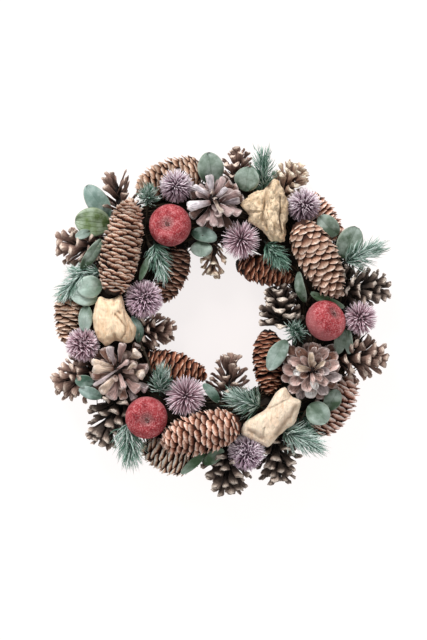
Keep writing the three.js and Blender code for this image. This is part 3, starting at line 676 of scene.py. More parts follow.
SPRUCE_PALE = spruce_finish(
    "pale spruce scales", 0.035, (18, 6, 3), (72, 30, 16), (170, 116, 88), (250, 216, 194), (255, 244, 232))
SPRUCE_BEIGE = spruce_finish(
    "beige spruce scales", 0.0, (62, 34, 24), (122, 80, 61), (170, 131, 110), (208, 175, 156),
    (250, 232, 218))
SPRUCE_TAN = spruce_finish(
    "tan spruce scales", 0.02, (58, 28, 18), (120, 66, 46), (192, 138, 114), (240, 200, 180),
    (255, 240, 230))
SPRUCE_GREY_TAN = spruce_finish(
    "grey tan spruce scales", 0.0, (28, 13, 7), (112, 72, 52), (170, 132, 108), (210, 178, 156),
    (244, 224, 208))
SPRUCE_RED = spruce_finish(
    "red brown spruce scales", 0.05, (18, 7, 4), (62, 26, 14), (112, 60, 40), (168, 112, 86),
    (232, 194, 172))
# The cream cone lies in the shade of the bottom cone, so its pale colours are raised nearly to white:
# painted light.
SPRUCE_CREAM = spruce_finish(
    "cream spruce scales", 0.055, (16, 6, 4), (96, 48, 30), (246, 200, 168), (255, 248, 234),
    (255, 252, 246))
SPRUCE_MAUVE = spruce_finish(
    "mauve spruce scales", 0.015, (52, 28, 20), (136, 86, 68), (216, 170, 152), (250, 224, 212),
    (255, 246, 240))
SPRUCE_DARK = spruce_finish(
    "dark brown spruce scales", 0.05, (14, 7, 5), (50, 27, 18), (98, 62, 46), (160, 118, 98),
    (236, 208, 190))
print("Finishes so far:", len(bpy.data.materials))

# %% [markdown]
# ## Spruce cones
# A spruce cone swells quickly from its base and tapers to a rounded tip. Its scales lie close, and only
# their lobes show. The profile is part of a sine wave, as in the CAD, rounded off at the tip. At the base
# the scales are short and root near the axis, and so close it like a dome.

# %% Spruce tree
SWELL_START = 0.16
SWELL_SPAN = 0.76
SWELL_FULLNESS = 0.6
TIP_ROUNDING = 0.16
BASE_CLOSING = 0.12
BASE_ROOTS = 0.26
BASE_ROOT_DEPTH = 0.78
FIRST_LIP = 0.03
FIRST_LENGTH = 5 * MM
LEAST_SPRUCE_WIDTH = 0.4
STEEPEST = 0.95
SLIMMEST = 1.6 * MM
CORE_SHARE = 0.9


def nearness_to_base(t, share):
    """1 at the base, 0 from this share of the length on."""
    return ((share - t) / share).within_one()


def spruce_radius(given, t):
    """Half the width of the cone at t, 0 to 1 from base to tip."""
    wave = calc("SINE", math.pi * (SWELL_START + SWELL_SPAN * t))
    swell = given["Width"] * 0.5 * calc("POWER", wave, SWELL_FULLNESS)
    late = ((t - (1 - TIP_ROUNDING)) / TIP_ROUNDING).within_one()
    early = nearness_to_base(t, BASE_CLOSING)
    return swell * calc("SQRT", 1.0 - (late * late * 0.96 + early * early * 0.5))


def spruce_profile(given, t):
    """A scale's lip lies on the cone's outline, and its root lies inside, so that they give its lean."""
    lip = spruce_radius(given, t)
    lip_height = given["Length"] * (FIRST_LIP + t * (1 - FIRST_LIP))
    length = calc("MINIMUM", given["Piece length"], lip_height + FIRST_LENGTH)
    early = nearness_to_base(t, BASE_ROOTS)
    depth = given["Core radius"] * (1.0 - early) + length * BASE_ROOT_DEPTH * early
    radius = calc("MAXIMUM", lip - depth, SLIMMEST)
    lean = calc("ARCSINE", calc("MINIMUM", (lip - radius) / length, STEEPEST))
    share = lip / (given["Width"] * 0.5)

    def core(rise):
        thick = calc("MAXIMUM", spruce_radius(given, rise) - given["Core radius"], SLIMMEST)
        return thick, given["Length"] * CORE_SHARE * rise
    width = given["Piece width"] * (LEAST_SPRUCE_WIDTH + share * (1 - LEAST_SPRUCE_WIDTH))
    return {"radius": radius, "height": lip_height - length * calc("COSINE", lean), "lean": lean,
            "length": length, "width": width, "core": core}


SPRUCE_TREE = set_round_axis("Spruce cone", spruce_profile)

# %% [markdown]
# The table gives each cone's ends in millimetres, its width, its finish, and how far its lips stand out
# from their roots. Some rows add a length and a width for the scales: narrow ones show as small fans, wide
# ones as slats. The number of scales follows from the cone's surface, so that it is covered evenly.

# %% Spruce cones
SCALE_AREA = 62.0
MEAN_WIDTH = 0.85
USUAL_SCALE = (17, 17)
SPRUCE_CONES = [
    ("spruce_cone_left_large", (-112, 26, 59), (-93, 127, 51), 43, SPRUCE_PALE, 11.0),
    ("spruce_cone_right_large", (82, 100, 58), (126, 22, 53), 44, SPRUCE_BEIGE, 8.5, (18.5, 14)),
    ("spruce_cone_bottom_large", (20, -109, 60), (-64, -130, 54), 46, SPRUCE_TAN, 11.0, (18.5, 14)),
    ("spruce_cone_top_left", (-19, 159, 27), (-90, 137, 26), 43, SPRUCE_GREY_TAN, 11.5, (17.5, 14)),
    ("spruce_cone_left_outer", (-154, 36, 25), (-162, -27, 26), 36, SPRUCE_GREY_TAN, 11.0),
    ("spruce_cone_top_right", (84, 132, 24), (128, 85, 26), 34, SPRUCE_TAN, 11.0),
    ("spruce_cone_right_lower", (101, -120, 24), (141, -59, 27), 45, SPRUCE_MAUVE, 14.5, (21, 18)),
    ("spruce_cone_bottom_under", (-29, -154, 24), (-84, -134, 25), 40, SPRUCE_CREAM, 12.5, (19.5, 17.5)),
    ("spruce_cone_hole_top_left", (-42, 77, 27), (-60, 18, 25), 35, SPRUCE_DARK, 9.5),
    ("spruce_cone_hole_top_right", (19, 60, 25), (78, 41, 27), 31, SPRUCE_RED, 9.5),
    ("spruce_cone_hole_right", (50, -13, 23), (53, -82, 33), 34, SPRUCE_RED, 10.5),
    ("spruce_cone_hole_bottom_left", (-79, -42, 24), (-13, -62, 23), 34, SPRUCE_RED, 9.5),
]
for number, (name, base, tip, width, wood, stand, *other_size) in enumerate(SPRUCE_CONES):
    length = (Vector(tip) - Vector(base)).length
    scale_length, scale_width = other_size[0] if other_size else USUAL_SCALE
    area = math.pi * width * MEAN_WIDTH * length
    count = round(area / SCALE_AREA * (USUAL_SCALE[0] / scale_length) ** 2)
    cone = grown(name + "_scales", SPRUCE_TREE, {
        "Pattern": spruce_scale, "Finish": wood, "Count": count, "Seed": number,
        "Length": length * MM, "Width": width * MM, "Core radius": stand * MM,
        "Piece length": scale_length * MM, "Piece width": scale_width * MM,
        "Loose": 0.065, "Uneven": 0.06, "Ragged": 3 * MM, "Base": at(base), "Tip": at(tip)})
    stands_for(cone, name)

# %% [markdown]
# ## Pine cones
# An open pine cone is a dark core with fingers that lean out by 60 to 76 degrees at the base and close
# towards the tip. Each finger ends in a pale thick diamond, which is most of what one sees.

# %% Pine tree
PINE_TAPER = 0.54
PINE_TAPER_LATENESS = 2.1
PINE_CLOSING = 0.6
PINE_CORE_WIDTH = 0.3
PINE_CORE_TAPER = 0.75
LEAST_PINE_WIDTH = 0.3
PINE_ROOT_DEPTH = 0.8 * MM


def pine_profile(given, t):
    """A finger reaches from the core to an outline that narrows towards the tip."""
    half = given["Width"] * 0.5

    def core_radius(place):
        return calc("MAXIMUM", half * PINE_CORE_WIDTH * (1.0 - place * PINE_CORE_TAPER), SLIMMEST)
    reach = half * (1.0 - calc("POWER", t, PINE_TAPER_LATENESS) * PINE_TAPER)
    radius = core_radius(t)
    lean = given["Open"] * (1.0 - t * PINE_CLOSING)

    def core(rise):
        return core_radius(rise), given["Length"] * (rise * CORE_SHARE)
    width = given["Piece width"] * (LEAST_PINE_WIDTH + reach / half * (1 - LEAST_PINE_WIDTH))
    return {"radius": radius - PINE_ROOT_DEPTH, "height": given["Piece length"] * t, "lean": lean,
            "length": (reach - radius) / calc("SINE", lean), "width": width, "core": core}


PINE_TREE = set_round_axis("Pine cone", pine_profile, [("Open", "Float", 1.2)])

# %% Finishes of the pine cones
PINE_BROWN = wood_finish("brown pine scales", [
    (0.1, (22, 14, 11)), (0.4, (80, 59, 51)), (0.72, (136, 108, 97)), (0.9, (178, 150, 136)),
    (1.0, (236, 216, 200))], (120, 94, 84), rim_at=0.7)
PINE_DARK = wood_finish("dark pine scales", [
    (0.1, (14, 11, 10)), (0.45, (56, 46, 41)), (0.8, (104, 89, 80)), (0.93, (172, 154, 141)),
    (1.0, (238, 224, 210))], (84, 70, 63), rim_at=0.7)
PINE_YELLOW = wood_finish("yellow tipped pine scales", [
    (0.1, (40, 26, 19)), (0.4, (116, 88, 74)), (0.7, (182, 152, 134)), (0.88, (226, 206, 182)),
    (1.0, (248, 236, 216))], (150, 120, 102), rim_at=0.7)
GREY_PINK = wood_finish("pinkish grey lower scales", [
    (0.1, (40, 28, 26)), (0.35, (110, 88, 84)), (0.65, (160, 138, 136)), (0.9, (196, 176, 174)),
    (1.0, (216, 196, 188))], (180, 158, 154))
GREY_WOOD = wood_finish("grey mauve woody lower scales", [
    (0.1, (38, 26, 21)), (0.4, (104, 82, 74)), (0.7, (150, 126, 118)), (0.9, (190, 168, 160)),
    (1.0, (206, 184, 172))], (150, 122, 112))
GREY_FAN = wood_finish("mauve brown fan scales", [
    (0.1, (44, 28, 24)), (0.4, (112, 84, 75)), (0.7, (156, 128, 120)), (0.88, (196, 170, 164)),
    (1.0, (232, 216, 208))], (214, 194, 186), rim_at=0.82)
print("Finishes so far:", len(bpy.data.materials))

# %% [markdown]
# The table gives each cone's ends, its width, how far its fingers lean out at the base in degrees, its
# finish, the number of fingers and their width.

# %% Pine cones
PINE_CONES = [
    ("pine_cone_top_left", (-101, 104, 24), (-113, 152, 31), 46, 60, PINE_BROWN, 24, 8.5),
    ("pine_cone_left_upper", (-121, 75, 24), (-171, 78, 26), 54, 76, PINE_BROWN, 46, 12.5),
    ("pine_cone_top", (17, 137, 23), (20, 179, 25), 40, 68, PINE_BROWN, 30, 11),
    ("pine_cone_top_right", (64, 128, 24), (83, 160, 27), 45, 70, PINE_YELLOW, 38, 11),
    ("pine_cone_right_upper", (125, 31, 25), (176, 34, 26), 52, 72, PINE_DARK, 52, 10.4),
    ("pine_cone_right_lower", (121, -42, 26), (173, -40, 29), 56, 74, PINE_BROWN, 47, 12.5),
    ("pine_cone_left_lower", (-123, -52, 26), (-170, -70, 27), 57, 74, PINE_BROWN, 48, 12.5),
    ("pine_cone_bottom_left", (-103, -78, 24), (-128, -135, 25), 57, 74, PINE_DARK, 49, 12.5),
    ("pine_cone_bottom", (9, -133, 25), (8, -181, 25), 58, 76, PINE_DARK, 50, 12.5),
    ("pine_cone_bottom_right", (58, -119, 24), (63, -172, 25), 54, 73, PINE_DARK, 48, 12),
    ("pine_cone_hole_right", (67, -8, 22), (60, 33, 31), 47, 74, PINE_DARK, 40, 15),
    ("pine_cone_hole_left", (-92, -12, 20), (-51, -12, 27), 45, 74, PINE_BROWN, 44, 10),
    ("pine_cone_hole_top", (-7, 84, 22), (-8, 46, 26), 34, 62, PINE_YELLOW, 20, 9),
    ("pine_cone_hole_bottom", (9, -86, 23), (9, -42, 26), 47, 66, PINE_BROWN, 34, 9.6),
]
ROOTS_SHARE = 0.72
OTHER_PATTERNS = {"pine_cone_top_left": finger_scale}


def pine_cone(name, seed, row, pattern, roots=ROOTS_SHARE):
    """A cone's scales from its row of the table. roots is the share of its length that has scales."""
    base, tip, width, opening, wood, count, piece_width = row
    length = (Vector(tip) - Vector(base)).length
    return grown(name + "_scales", PINE_TREE, {
        "Pattern": pattern, "Finish": wood, "Count": count, "Length": length * MM, "Width": width * MM,
        "Piece length": length * roots * MM, "Piece width": piece_width * MM, "Loose": 0.17,
        "Ragged": 6 * MM, "Seed": seed, "Open": math.radians(opening), "Base": at(base), "Tip": at(tip)})


for number, (name, *row) in enumerate(PINE_CONES):
    cone = pine_cone(name, 100 + number, row, OTHER_PATTERNS.get(name, pine_scale))
    stands_for(cone, name)

# %% [markdown]
# ## Grey cones that face the viewer
# Three old pine cones look straight up. They have few, broad scales, and each is turned its own way, so a
# strict rule would make them look like flowers. Their lower scales are still grown by the tree. The upper
# ones are set one by one from a table, which is slower to write but keeps the cone's own character. A row
# has the places of a scale's root and of its lip, from where the cone's axis meets the bench, its width,
# how far it is rolled on its length, and its tint.

# %% Finish of the broad scales
CHALK, ROSE, STRAW_PALE = paint(236, 228, 232), paint(196, 170, 167), paint(212, 194, 178)
ASH, MAUVE = paint(178, 166, 170), paint(158, 132, 128)
BARK, UMBER = paint(140, 108, 97), paint(100, 76, 68)


def broad_finish():
    material, tree, shader = new_finish("weathered broad scales", 0.75)
    tint = mark(tree, "tint", "Color")
    along, across, shade = mark(tree, "along"), mark(tree, "across"), mark(tree, "shade")
    fibres = streaks_along(along, across, shade, 2.6, 2.8)
    patches = stronger(speckle(tree, 260), 2.0)
    root = ((0.5 - along) * 2.0).within_one()
    colour = mix(root, tint, mix(1.0, tint, paint(118, 84, 74), "MULTIPLY"))
    rim = ((across - 0.74) * 4.5).within_one()
    lip = ((along - 0.84) * 8.0).within_one()
    edge = calc("MAXIMUM", rim, lip) * (0.2 + fibres * 0.8)
    colour = mix(edge, colour, mix(0.75, tint, paint(250, 240, 236)))
    colour_in(shader, colour, (0.66 + fibres * 0.6) * (0.76 + patches * 0.46))
    raised(shader, fibres + patches * 0.6, 0.9, 0.0009)
    return material


BROAD = broad_finish()
print("Finish:", BROAD.name)

# %% Broad scales set one by one
GREY_TOP = [
    ((-4, 2, 60), (-21.4, 11, 68), 7.4, -18, CHALK), ((-1, 4, 58), (-4.4, 23.4, 67), 9.4, 12, CHALK),
    ((3, 4, 58), (11, 20.8, 66), 7.6, -22, ROSE), ((3.5, 0, 62), (14.2, 9.4, 71), 6.2, 10, CHALK),
    ((-3, -5, 59), (-27.8, -10.2, 67), 11, 8, CHALK), ((7, -3, 57), (28.6, 4.4, 67), 9, 34, MAUVE),
    ((9, -5, 52), (28, -3.5, 60), 8, 10, ASH), ((1, -3, 67), (9.4, -17, 74), 5.4, -14, STRAW_PALE),
    ((6, -8, 57), (19.4, -18, 64), 10, 6, ROSE), ((13, -8, 50), (28, -17.5, 57), 9, -12, ROSE),
    ((-1, -12, 52), (0.4, -30.4, 57), 8.8, 4, ROSE), ((4, -13, 48), (8.4, -31, 55), 7.8, -10, MAUVE),
    ((11, -17, 43), (18.6, -33.4, 48), 10.5, 8, UMBER), ((-4, -13, 50), (-15.4, -28.8, 57), 9.6, 10, MAUVE),
    ((-3, -21, 41), (-5.4, -36.4, 46), 9, 0, BARK), ((9, 9, 46), (20, 15.4, 54), 9, 20, BARK),
    ((8, 13, 44), (15.6, 22, 50), 8.6, -10, UMBER), ((13, 6, 44), (26.4, 11, 53), 8.6, 0, BARK),
    ((19, -2, 41), (33, -1, 47), 8.6, 0, UMBER), ((0, 3, 64), (-2, 6, 74), 4.6, 40, STRAW_PALE),
    ((0, 0, 64), (3, -2, 75), 4.4, -30, STRAW_PALE), ((-12, -10, 42), (-24, -20, 46), 9, 0, UMBER),
    ((-12, 6, 42), (-25, 2, 46), 9, 0, UMBER),
]
GREY_LEFT = [
    ((1.5, 1.5, 69), (-24.2, -16, 73), 5.2, 30, ASH), ((0, 1, 69), (12.4, 10, 74.5), 5.4, -16, ROSE),
    ((-3, 6, 62), (-8.4, 24.8, 71), 9, 16, ASH), ((-6, 6, 57), (-16, 22.8, 65), 9, -10, BARK),
    ((2, 8, 56), (6, 28, 65), 9, 10, MAUVE), ((14, 11, 48), (21.5, 18, 64), 12, 0, STRAW_PALE),
    ((13, 14, 42), (20.6, 27.4, 52), 8.4, 0, UMBER), ((17, -3, 46), (26.4, -5.4, 62), 12, 0, STRAW_PALE),
    ((18, 3, 43), (31.6, 0.4, 52), 11.4, 0, MAUVE), ((10, -1, 60), (19, 7, 68), 6, 0, STRAW_PALE),
    ((2, -4, 66), (7.4, -19.4, 73), 6.6, 12, ROSE), ((-2, -7, 58), (-17, -24, 66), 9.8, -8, STRAW_PALE),
    ((-1, -13, 46), (-8.4, -30.6, 55), 12, 6, ROSE), ((4, -16, 43), (6.4, -31.6, 52), 8.8, 0, BARK),
    ((9, -11, 50), (22.6, -22, 59), 12, -6, MAUVE), ((17, -13, 43), (31, -21, 51), 9.8, 0, ASH),
    ((-4, 3, 58), (-26.6, 9, 68), 8, 10, STRAW_PALE), ((-4, 0, 60), (-26, 0.8, 69), 10, -8, STRAW_PALE),
    ((-7, -4, 50), (-27, -7.4, 58), 8.4, 0, BARK), ((11, -21, 41), (17.6, -31.6, 47), 8.8, 0, ASH),
    ((-14, -14, 42), (-26, -22, 48), 9, 0, UMBER), ((-14, 12, 42), (-25, 18, 50), 9, 0, UMBER),
]
GREY_RIGHT = [
    ((-1.5, 2, 63), (-2, 17.4, 71), 7.4, 10, STRAW_PALE),
    ((-2, -1, 63), (-17, 2.6, 70), 7.4, -8, STRAW_PALE),
    ((1, 1, 66), (1.6, 8.4, 74), 4, 20, STRAW_PALE), ((3, -1, 64), (12.8, 8.8, 72), 5, 12, STRAW_PALE),
    ((0, -4, 65), (0.6, -14.4, 71), 4.6, 0, ROSE), ((-4, 3, 55), (-24.4, 10.4, 64), 10.4, 0, ROSE),
    ((-4, 6, 52), (-16.6, 22, 61), 12, 8, BARK), ((1, 11, 47), (2.8, 27, 55), 12, 0, BARK),
    ((4, 7, 52), (16.4, 21, 61), 12, -8, MAUVE), ((6, 5, 51), (27.4, 15.4, 59), 12, 0, BARK),
    ((5, 0, 55), (28, 5.8, 63), 12, 0, ROSE), ((7, -5, 53), (30.4, -9.2, 62), 11, 6, ASH),
    ((4, -7, 58), (16.6, -16, 65), 10, 0, ROSE), ((5, -13, 50), (15.4, -26.6, 57), 12, 0, ASH),
    ((-1, -8, 54), (-8.4, -22.6, 61), 12, 0, ROSE), ((0, -17, 45), (-2, -30.6, 52), 13, 0, CHALK),
    ((-6, -5, 52), (-22.6, -16, 60), 12, 6, ROSE), ((-11, -13, 45), (-23.6, -24.4, 52), 12, 0, MAUVE),
    ((-9, 0, 49), (-30.6, -1, 57), 13, 0, MAUVE), ((-13, 5, 43), (-30.4, 11, 50), 10, 0, UMBER),
    ((-15, -6, 41), (-31.6, -11.4, 48), 11, 0, MAUVE), ((-8, -19, 40), (-13.4, -31.6, 46), 11, 0, ASH),
    ((6, -21, 41), (9.4, -32, 48), 10, 0, MAUVE), ((13, -11, 43), (26, -19, 50), 10, 0, BARK),
    ((-3, 13, 41), (-7.6, 25.4, 48), 8, 0, UMBER), ((12, 14, 42), (24, 24, 49), 10, 0, UMBER),
    ((-3, 4, 58), (-11, 13, 68), 8, -8, ROSE), ((-5, -4, 58), (-13, -9, 68), 8.6, 8, BARK),
    ((3, -5, 60), (9.6, -12.5, 69), 7.4, -6, MAUVE), ((6, 0, 58), (18, -3, 67.5), 8.6, 6, ASH),
    ((4, 6, 57), (8, 16, 66), 8, 0, MAUVE), ((-6, 1, 56), (-20, -5, 65), 8.6, 0, CHALK),
    ((0, -9, 56), (5, -21, 64), 9, 4, CHALK), ((-11, 12, 42), (-26, 22, 47), 11, 0, BARK),
]

print("Broad scales:", len(GREY_TOP) + len(GREY_LEFT) + len(GREY_RIGHT))

# %% [markdown]
# Each broad scale is a copy of a pattern, stretched between its root and its lip. Noise then pushes its
# corners about, in large bends and in small ones, because old scales are warped.

# %% One broad scale
UNEVENNESS = [(0.22, 1.2), (0.6, 0.6)]


def broad_scale(name, middle, root, lip, width, roll, tint, pattern):
    """One scale as a copy of the pattern. A fan has its sides bent up, the others down."""
    start, end = at(Vector(middle) + Vector(root)), at(Vector(middle) + Vector(lip))
    direction = (end - start).normalized()
    level = direction.cross(Vector((0, 0, 1))).normalized()
    side = Matrix.Rotation(math.radians(roll), 3, direction) @ level
    face = side.cross(direction)
    if pattern is fan_scale:
        side, face = -side, -face
    size = Matrix.Diagonal((width * MM, (end - start).length, width * MM, 1))
    turn = Matrix((side, direction, face)).transposed().to_4x4()
    mesh = pattern.data.copy()
    mesh.transform(Matrix.Translation(start) @ turn @ size)
    for corner in mesh.vertices:
        for fineness, push in UNEVENNESS:
            corner.co += noise.noise_vector(corner.co / MM * fineness) * push * MM
    write_mark(mesh, "shade", [noise.random()] * len(mesh.vertices))
    write_tint(mesh, tint)
    return dressed(name, mesh, BROAD)


print("Pushes of noise on a broad scale:", len(UNEVENNESS))

# %% [markdown]
# A grey cone's row is like a pine cone's, and adds the pattern, the table of broad scales, and how much
# the tints are brightened in red, green and blue.

# %% Grey cones
GREY_ROOTS_SHARE = 0.4
GREY_CONES = [
    ("pine_cone_grey_top", ((-6, 123, 37), (-7, 127, 66), 52, 88, GREY_PINK, 16, 9),
     finger_scale, GREY_TOP, (1.14, 1.13, 1.14)),
    ("pine_cone_grey_left", ((-107, -54, 37), (-107, -53, 65), 54, 86, GREY_WOOD, 16, 10),
     club_scale, GREY_LEFT, (1.46, 1.4, 1.34)),
    ("pine_cone_grey_right", ((97, -52, 37), (96, -52, 66), 61, 84, GREY_FAN, 27, 12),
     fan_scale, GREY_RIGHT, (1.32, 1.27, 1.19)),
]
noise.seed_set(5)
for number, (name, row, pattern, table, light) in enumerate(GREY_CONES):
    parts = [pine_cone(name, 90 + number, row, pattern, GREY_ROOTS_SHARE)]
    tip = row[1]
    middle = (tip[0], tip[1], 0)
    for root, lip, broad, roll, tint in table:
        lit = tuple(min(1.0, value * share) for value, share in zip(tint, light)) + (1.0,)
        parts.append(broad_scale(name + "_scale", middle, root, lip, broad, roll, lit, pattern))
    stands_for(joined(name + "_scales", parts), name)

# %% [markdown]
# ## Thistle heads
# A dried thistle is a ball of stiff spines, dark at their roots and lilac at their ends. The same rule
# sets them over a ball when the lean grows from nothing to half a turn along the count.

# %% Thistle tree
SPINE_ROOTS = 0.9
BALL_END = 0.2 * MM


def thistle_profile(given, t):
    """Spines root a little inside a ball and point away from its middle."""
    lean = calc("ARCCOSINE", 1.0 - t * 2.0)
    ball = given["Core radius"]
    inner = ball * SPINE_ROOTS

    def core(rise):
        angle = rise * math.pi
        return calc("MAXIMUM", ball * calc("SINE", angle), BALL_END), ball * (calc("COSINE", angle) * -1.0)
    return {"radius": inner * calc("SINE", lean), "height": inner * calc("COSINE", lean), "lean": lean,
            "length": given["Piece length"], "width": given["Piece width"], "core": core}


THISTLE_TREE = set_round_axis("Thistle head", thistle_profile)


# %% Finish of the spines
def spine_finish(name, stops, lower):
    """Spines from root to end. lower is the colour of the painted shade on the side of the head that faces
    away from the window lamp, towards -Y.
    """
    material, tree, shader = new_finish(name, 0.7)
    along, shade, skyward = mark(tree, "along"), mark(tree, "shade"), mark(tree, "skyward")
    colour = ramp(along + (shade - 0.5) * 0.3, painted(stops))
    # Painted shade: the spines that lean away from +Y and the window lamp turn towards the lower colour.
    below = ((0.15 - skyward) * 1.6).within_one()
    colour = mix(below, colour, mix(0.75, colour, paint(*lower), "MULTIPLY"))
    colour_in(shader, colour, 0.68 + shade * 0.6)
    give(shader, "Sheen Weight", 0.15)
    raised(shader, speckle(tree, 1500), 0.3, 0.0003)
    return material


SPINE_PINK = spine_finish("pink lilac spines", [
    (0.15, (96, 60, 72)), (0.4, (172, 132, 146)), (0.7, (226, 198, 208)), (1.0, (252, 240, 246))],
    (244, 234, 238))
SPINE_LILAC = spine_finish("lilac spines, painted shade on one side", [
    (0.1, (92, 68, 84)), (0.35, (176, 148, 166)), (0.62, (238, 220, 232)), (1.0, (255, 248, 252))],
    (196, 172, 188))
SPINE_PALE_SHADED = spine_finish("pale lilac spines, painted dark purple shade on one side", [
    (0.1, (88, 60, 74)), (0.35, (178, 148, 164)), (0.62, (242, 226, 236)), (1.0, (255, 250, 252))],
    (128, 92, 110))
SPINE_DARK = spine_finish("dark mauve spines", [
    (0.1, (80, 56, 66)), (0.38, (164, 132, 146)), (0.66, (224, 196, 210)), (1.0, (252, 236, 244))],
    (232, 220, 230))
print("Finishes so far:", len(bpy.data.materials))

# %% [markdown]
# A head's row has its centre, its radius, the number of spines, the share of the radius that is core, how
# thick and how loose the spines are, and their finish. The spines reach from their roots to the radius.

# %% Thistle heads
HEAD_AXIS = Vector((0.12, -0.08, 1))
SPINE_REACH = 1.02
THISTLES = [
    ("thistle_head_top_left", (-46, 140, 46), 18, 420, 0.46, 1.25, 0.16, SPINE_PALE_SHADED),
    ("thistle_head_hole_top", (22, 83, 45), 20.5, 300, 0.34, 1.3, 0.1, SPINE_PINK),
    ("thistle_head_top_right", (88, 120, 45), 18.5, 520, 0.52, 1.1, 0.4, SPINE_PALE_SHADED),
    ("thistle_head_left_upper", (-80, 21, 47), 20.5, 640, 0.58, 1.2, 0.5, SPINE_DARK),
    ("thistle_head_left_lower", (-144, -27, 47), 18.5, 600, 0.56, 1.1, 0.55, SPINE_PINK),
    ("thistle_head_right", (147, 1, 44), 18, 420, 0.44, 1.15, 0.3, SPINE_PINK),
    ("thistle_head_hole_bottom", (-36, -81, 47), 22, 300, 0.3, 1.45, 0.1, SPINE_PINK),
    ("thistle_head_bottom", (28, -140, 44), 20, 700, 0.58, 1.1, 0.6, SPINE_LILAC),
]
for number, (name, centre, radius, count, core, thickness, loose, spines) in enumerate(THISTLES):
    middle = at(centre)
    head = grown(name + "_spines", THISTLE_TREE, {
        "Pattern": spine, "Finish": spines, "Count": count, "Core radius": radius * core * MM,
        "Piece length": radius * (SPINE_REACH - SPINE_ROOTS * core) * MM, "Piece width": thickness * MM,
        "Loose": loose, "Seed": 200 + number, "Base": middle, "Tip": middle + HEAD_AXIS})
    stands_for(head, name)

# %% [markdown]
# ## Apples
# The small apples are dipped in glue and sugar, so their red shows through a grainy pink frost. The frost
# is thin round the eye, where the fruit is pulled in. The form is turned on its axis like on a lathe and
# then roughened grain by grain, because a bump alone would leave its outline too clean. The dry sepals in
# the eye are a very small cone of fingers, so the pine tree grows them.

# %% Apple form
APPLE_RINGS = 56
APPLE_SIDES = 84
APPLE_FLATNESS = 0.93
APPLE_DIMPLE = 0.2
APPLE_EYE_DEPTH = 0.1
APPLE_LOBES = 5
APPLE_GRAINS = [(0.9, 0.25), (2.1, 0.16)]


def apple_mesh(name, centre, radius, up):
    """polar is 0 at the eye and 1 half way down."""
    sections = []
    polar = []
    for ring in range(1, APPLE_RINGS):
        angle = -math.pi / 2 + math.pi * ring / APPLE_RINGS
        rise = math.sin(angle)
        upper = max(0.0, rise)
        level = rise * (APPLE_FLATNESS - APPLE_DIMPLE * abs(rise) ** 8) - APPLE_EYE_DEPTH * upper ** 24
        row = []
        for side in range(APPLE_SIDES):
            turn = 2 * math.pi * side / APPLE_SIDES
            lobes = 1 + 0.02 * math.cos(APPLE_LOBES * turn) * upper ** 2 + 0.05 * rise
            out = radius * math.cos(angle) * lobes
            point = Vector((out * math.cos(turn), out * math.sin(turn), radius * level))
            grain = sum(noise.noise(point * fineness) * height for fineness, height in APPLE_GRAINS)
            row.append(point + point.normalized() * grain)
        sections.append(row)
        polar.append([(math.pi / 2 - angle) / (math.pi / 2)] * APPLE_SIDES)
    mesh = skinned(name, sections, {"polar": polar})
    turn = Vector((0, 0, 1)).rotation_difference(Vector(up)).to_matrix().to_4x4()
    mesh.transform(Matrix.Translation(at(centre)) @ turn @ Matrix.Scale(MM, 4))
    return mesh


print("Corners of an apple:", (APPLE_RINGS - 1) * APPLE_SIDES + 2)


# %% Finish of the apples
def apple_finish():
    material, tree, shader = new_finish("sugared apple skin", 0.62)
    polar = mark(tree, "polar")
    flecks = speckle(tree, 620, 2.0)
    clouds = stronger(speckle(tree, 130, 4.0), 2.2)
    red = ramp(clouds, painted([(0.1, (126, 28, 36)), (0.5, (164, 52, 58)), (0.9, (188, 94, 98))]))
    frost = ((flecks - 0.47) * 5.0).within_one() * (0.2 + clouds * 0.55)
    colour = mix(frost, red, paint(232, 166, 168))
    eye = ramp(polar + flecks * 0.1, [(0.05, grey(1.0)), (0.2, grey(0.7)), (0.32, grey(0.0))])
    eye_colour = mix(stronger(flecks, 3.0), paint(108, 46, 50), paint(184, 128, 126))
    colour = mix(eye, colour, eye_colour)
    edge = ramp(polar, [(0.72, grey(0.0)), (0.95, grey(0.55))])
    give(shader, "Base Color", mix(edge, colour, paint(176, 108, 110)))
    give(shader, "Roughness", 0.75 - frost * 0.35)
    raised(shader, flecks + speckle(tree, 1300, 1.0), 0.8, 0.0006)
    return material


APPLE_SKIN = apple_finish()
SEPALS = wood_finish("dry sepals", [
    (0.0, (112, 62, 60)), (0.5, (150, 96, 94)), (1.0, (206, 164, 162))], (160, 112, 110))
print("Apple finishes:", APPLE_SKIN.name, "and", SEPALS.name)

# %% Apples
EYE_LEVEL = 0.56
APPLES = [
    ("apple_top_left", (-52, 98, 55.5), 22, (-0.2, 0.08, 1)),
    ("apple_right", (110, -2, 59), 21.5, (0.62, 0.5, 0.6)),
    ("apple_bottom_left", (-77, -103, 55), 22, (0.05, -0.12, 1)),
]
for number, (name, centre, radius, up) in enumerate(APPLES):
    fruit = dressed(name + "_skin", apple_mesh(name, centre, radius, up), APPLE_SKIN)
    out = Vector(up).normalized()
    eye_floor = at(Vector(centre) + out * radius * EYE_LEVEL)
    eye = grown(name + "_eye", PINE_TREE, {
        "Pattern": finger_scale, "Finish": SEPALS, "Count": 12, "Length": 3.4 * MM, "Width": 9 * MM,
        "Piece length": 2.0 * MM, "Piece width": 2.4 * MM, "Loose": 0.3, "Seed": 400 + number,
        "Open": math.radians(76), "Base": eye_floor, "Tip": eye_floor + out})
    stands_for(joined(name + "_skin", [fruit, eye]), name)

# %% [markdown]
# ## Husks
# The pale husks are dry seed cases. One is crumpled paper with two lobes, one is a smooth pear with
# grain like wood, and one is like a piece of hollow stalk. Each is a rounded body on a drawn outline.
# Creases are lines on it that are pressed in. They and the small folds are marked with how much painted
# shade the finish puts in them.

# %% Smooth lines
CURVE_STEPS = 24


def between(a, b, c, d, s):
    """A point of the smooth curve through four corners, s of the way from the second to the third."""
    return 0.5 * (2 * b + (c - a) * s + (2 * a - 5 * b + 4 * c - d) * s * s
                  + (3 * b - a - 3 * c + d) * s ** 3)


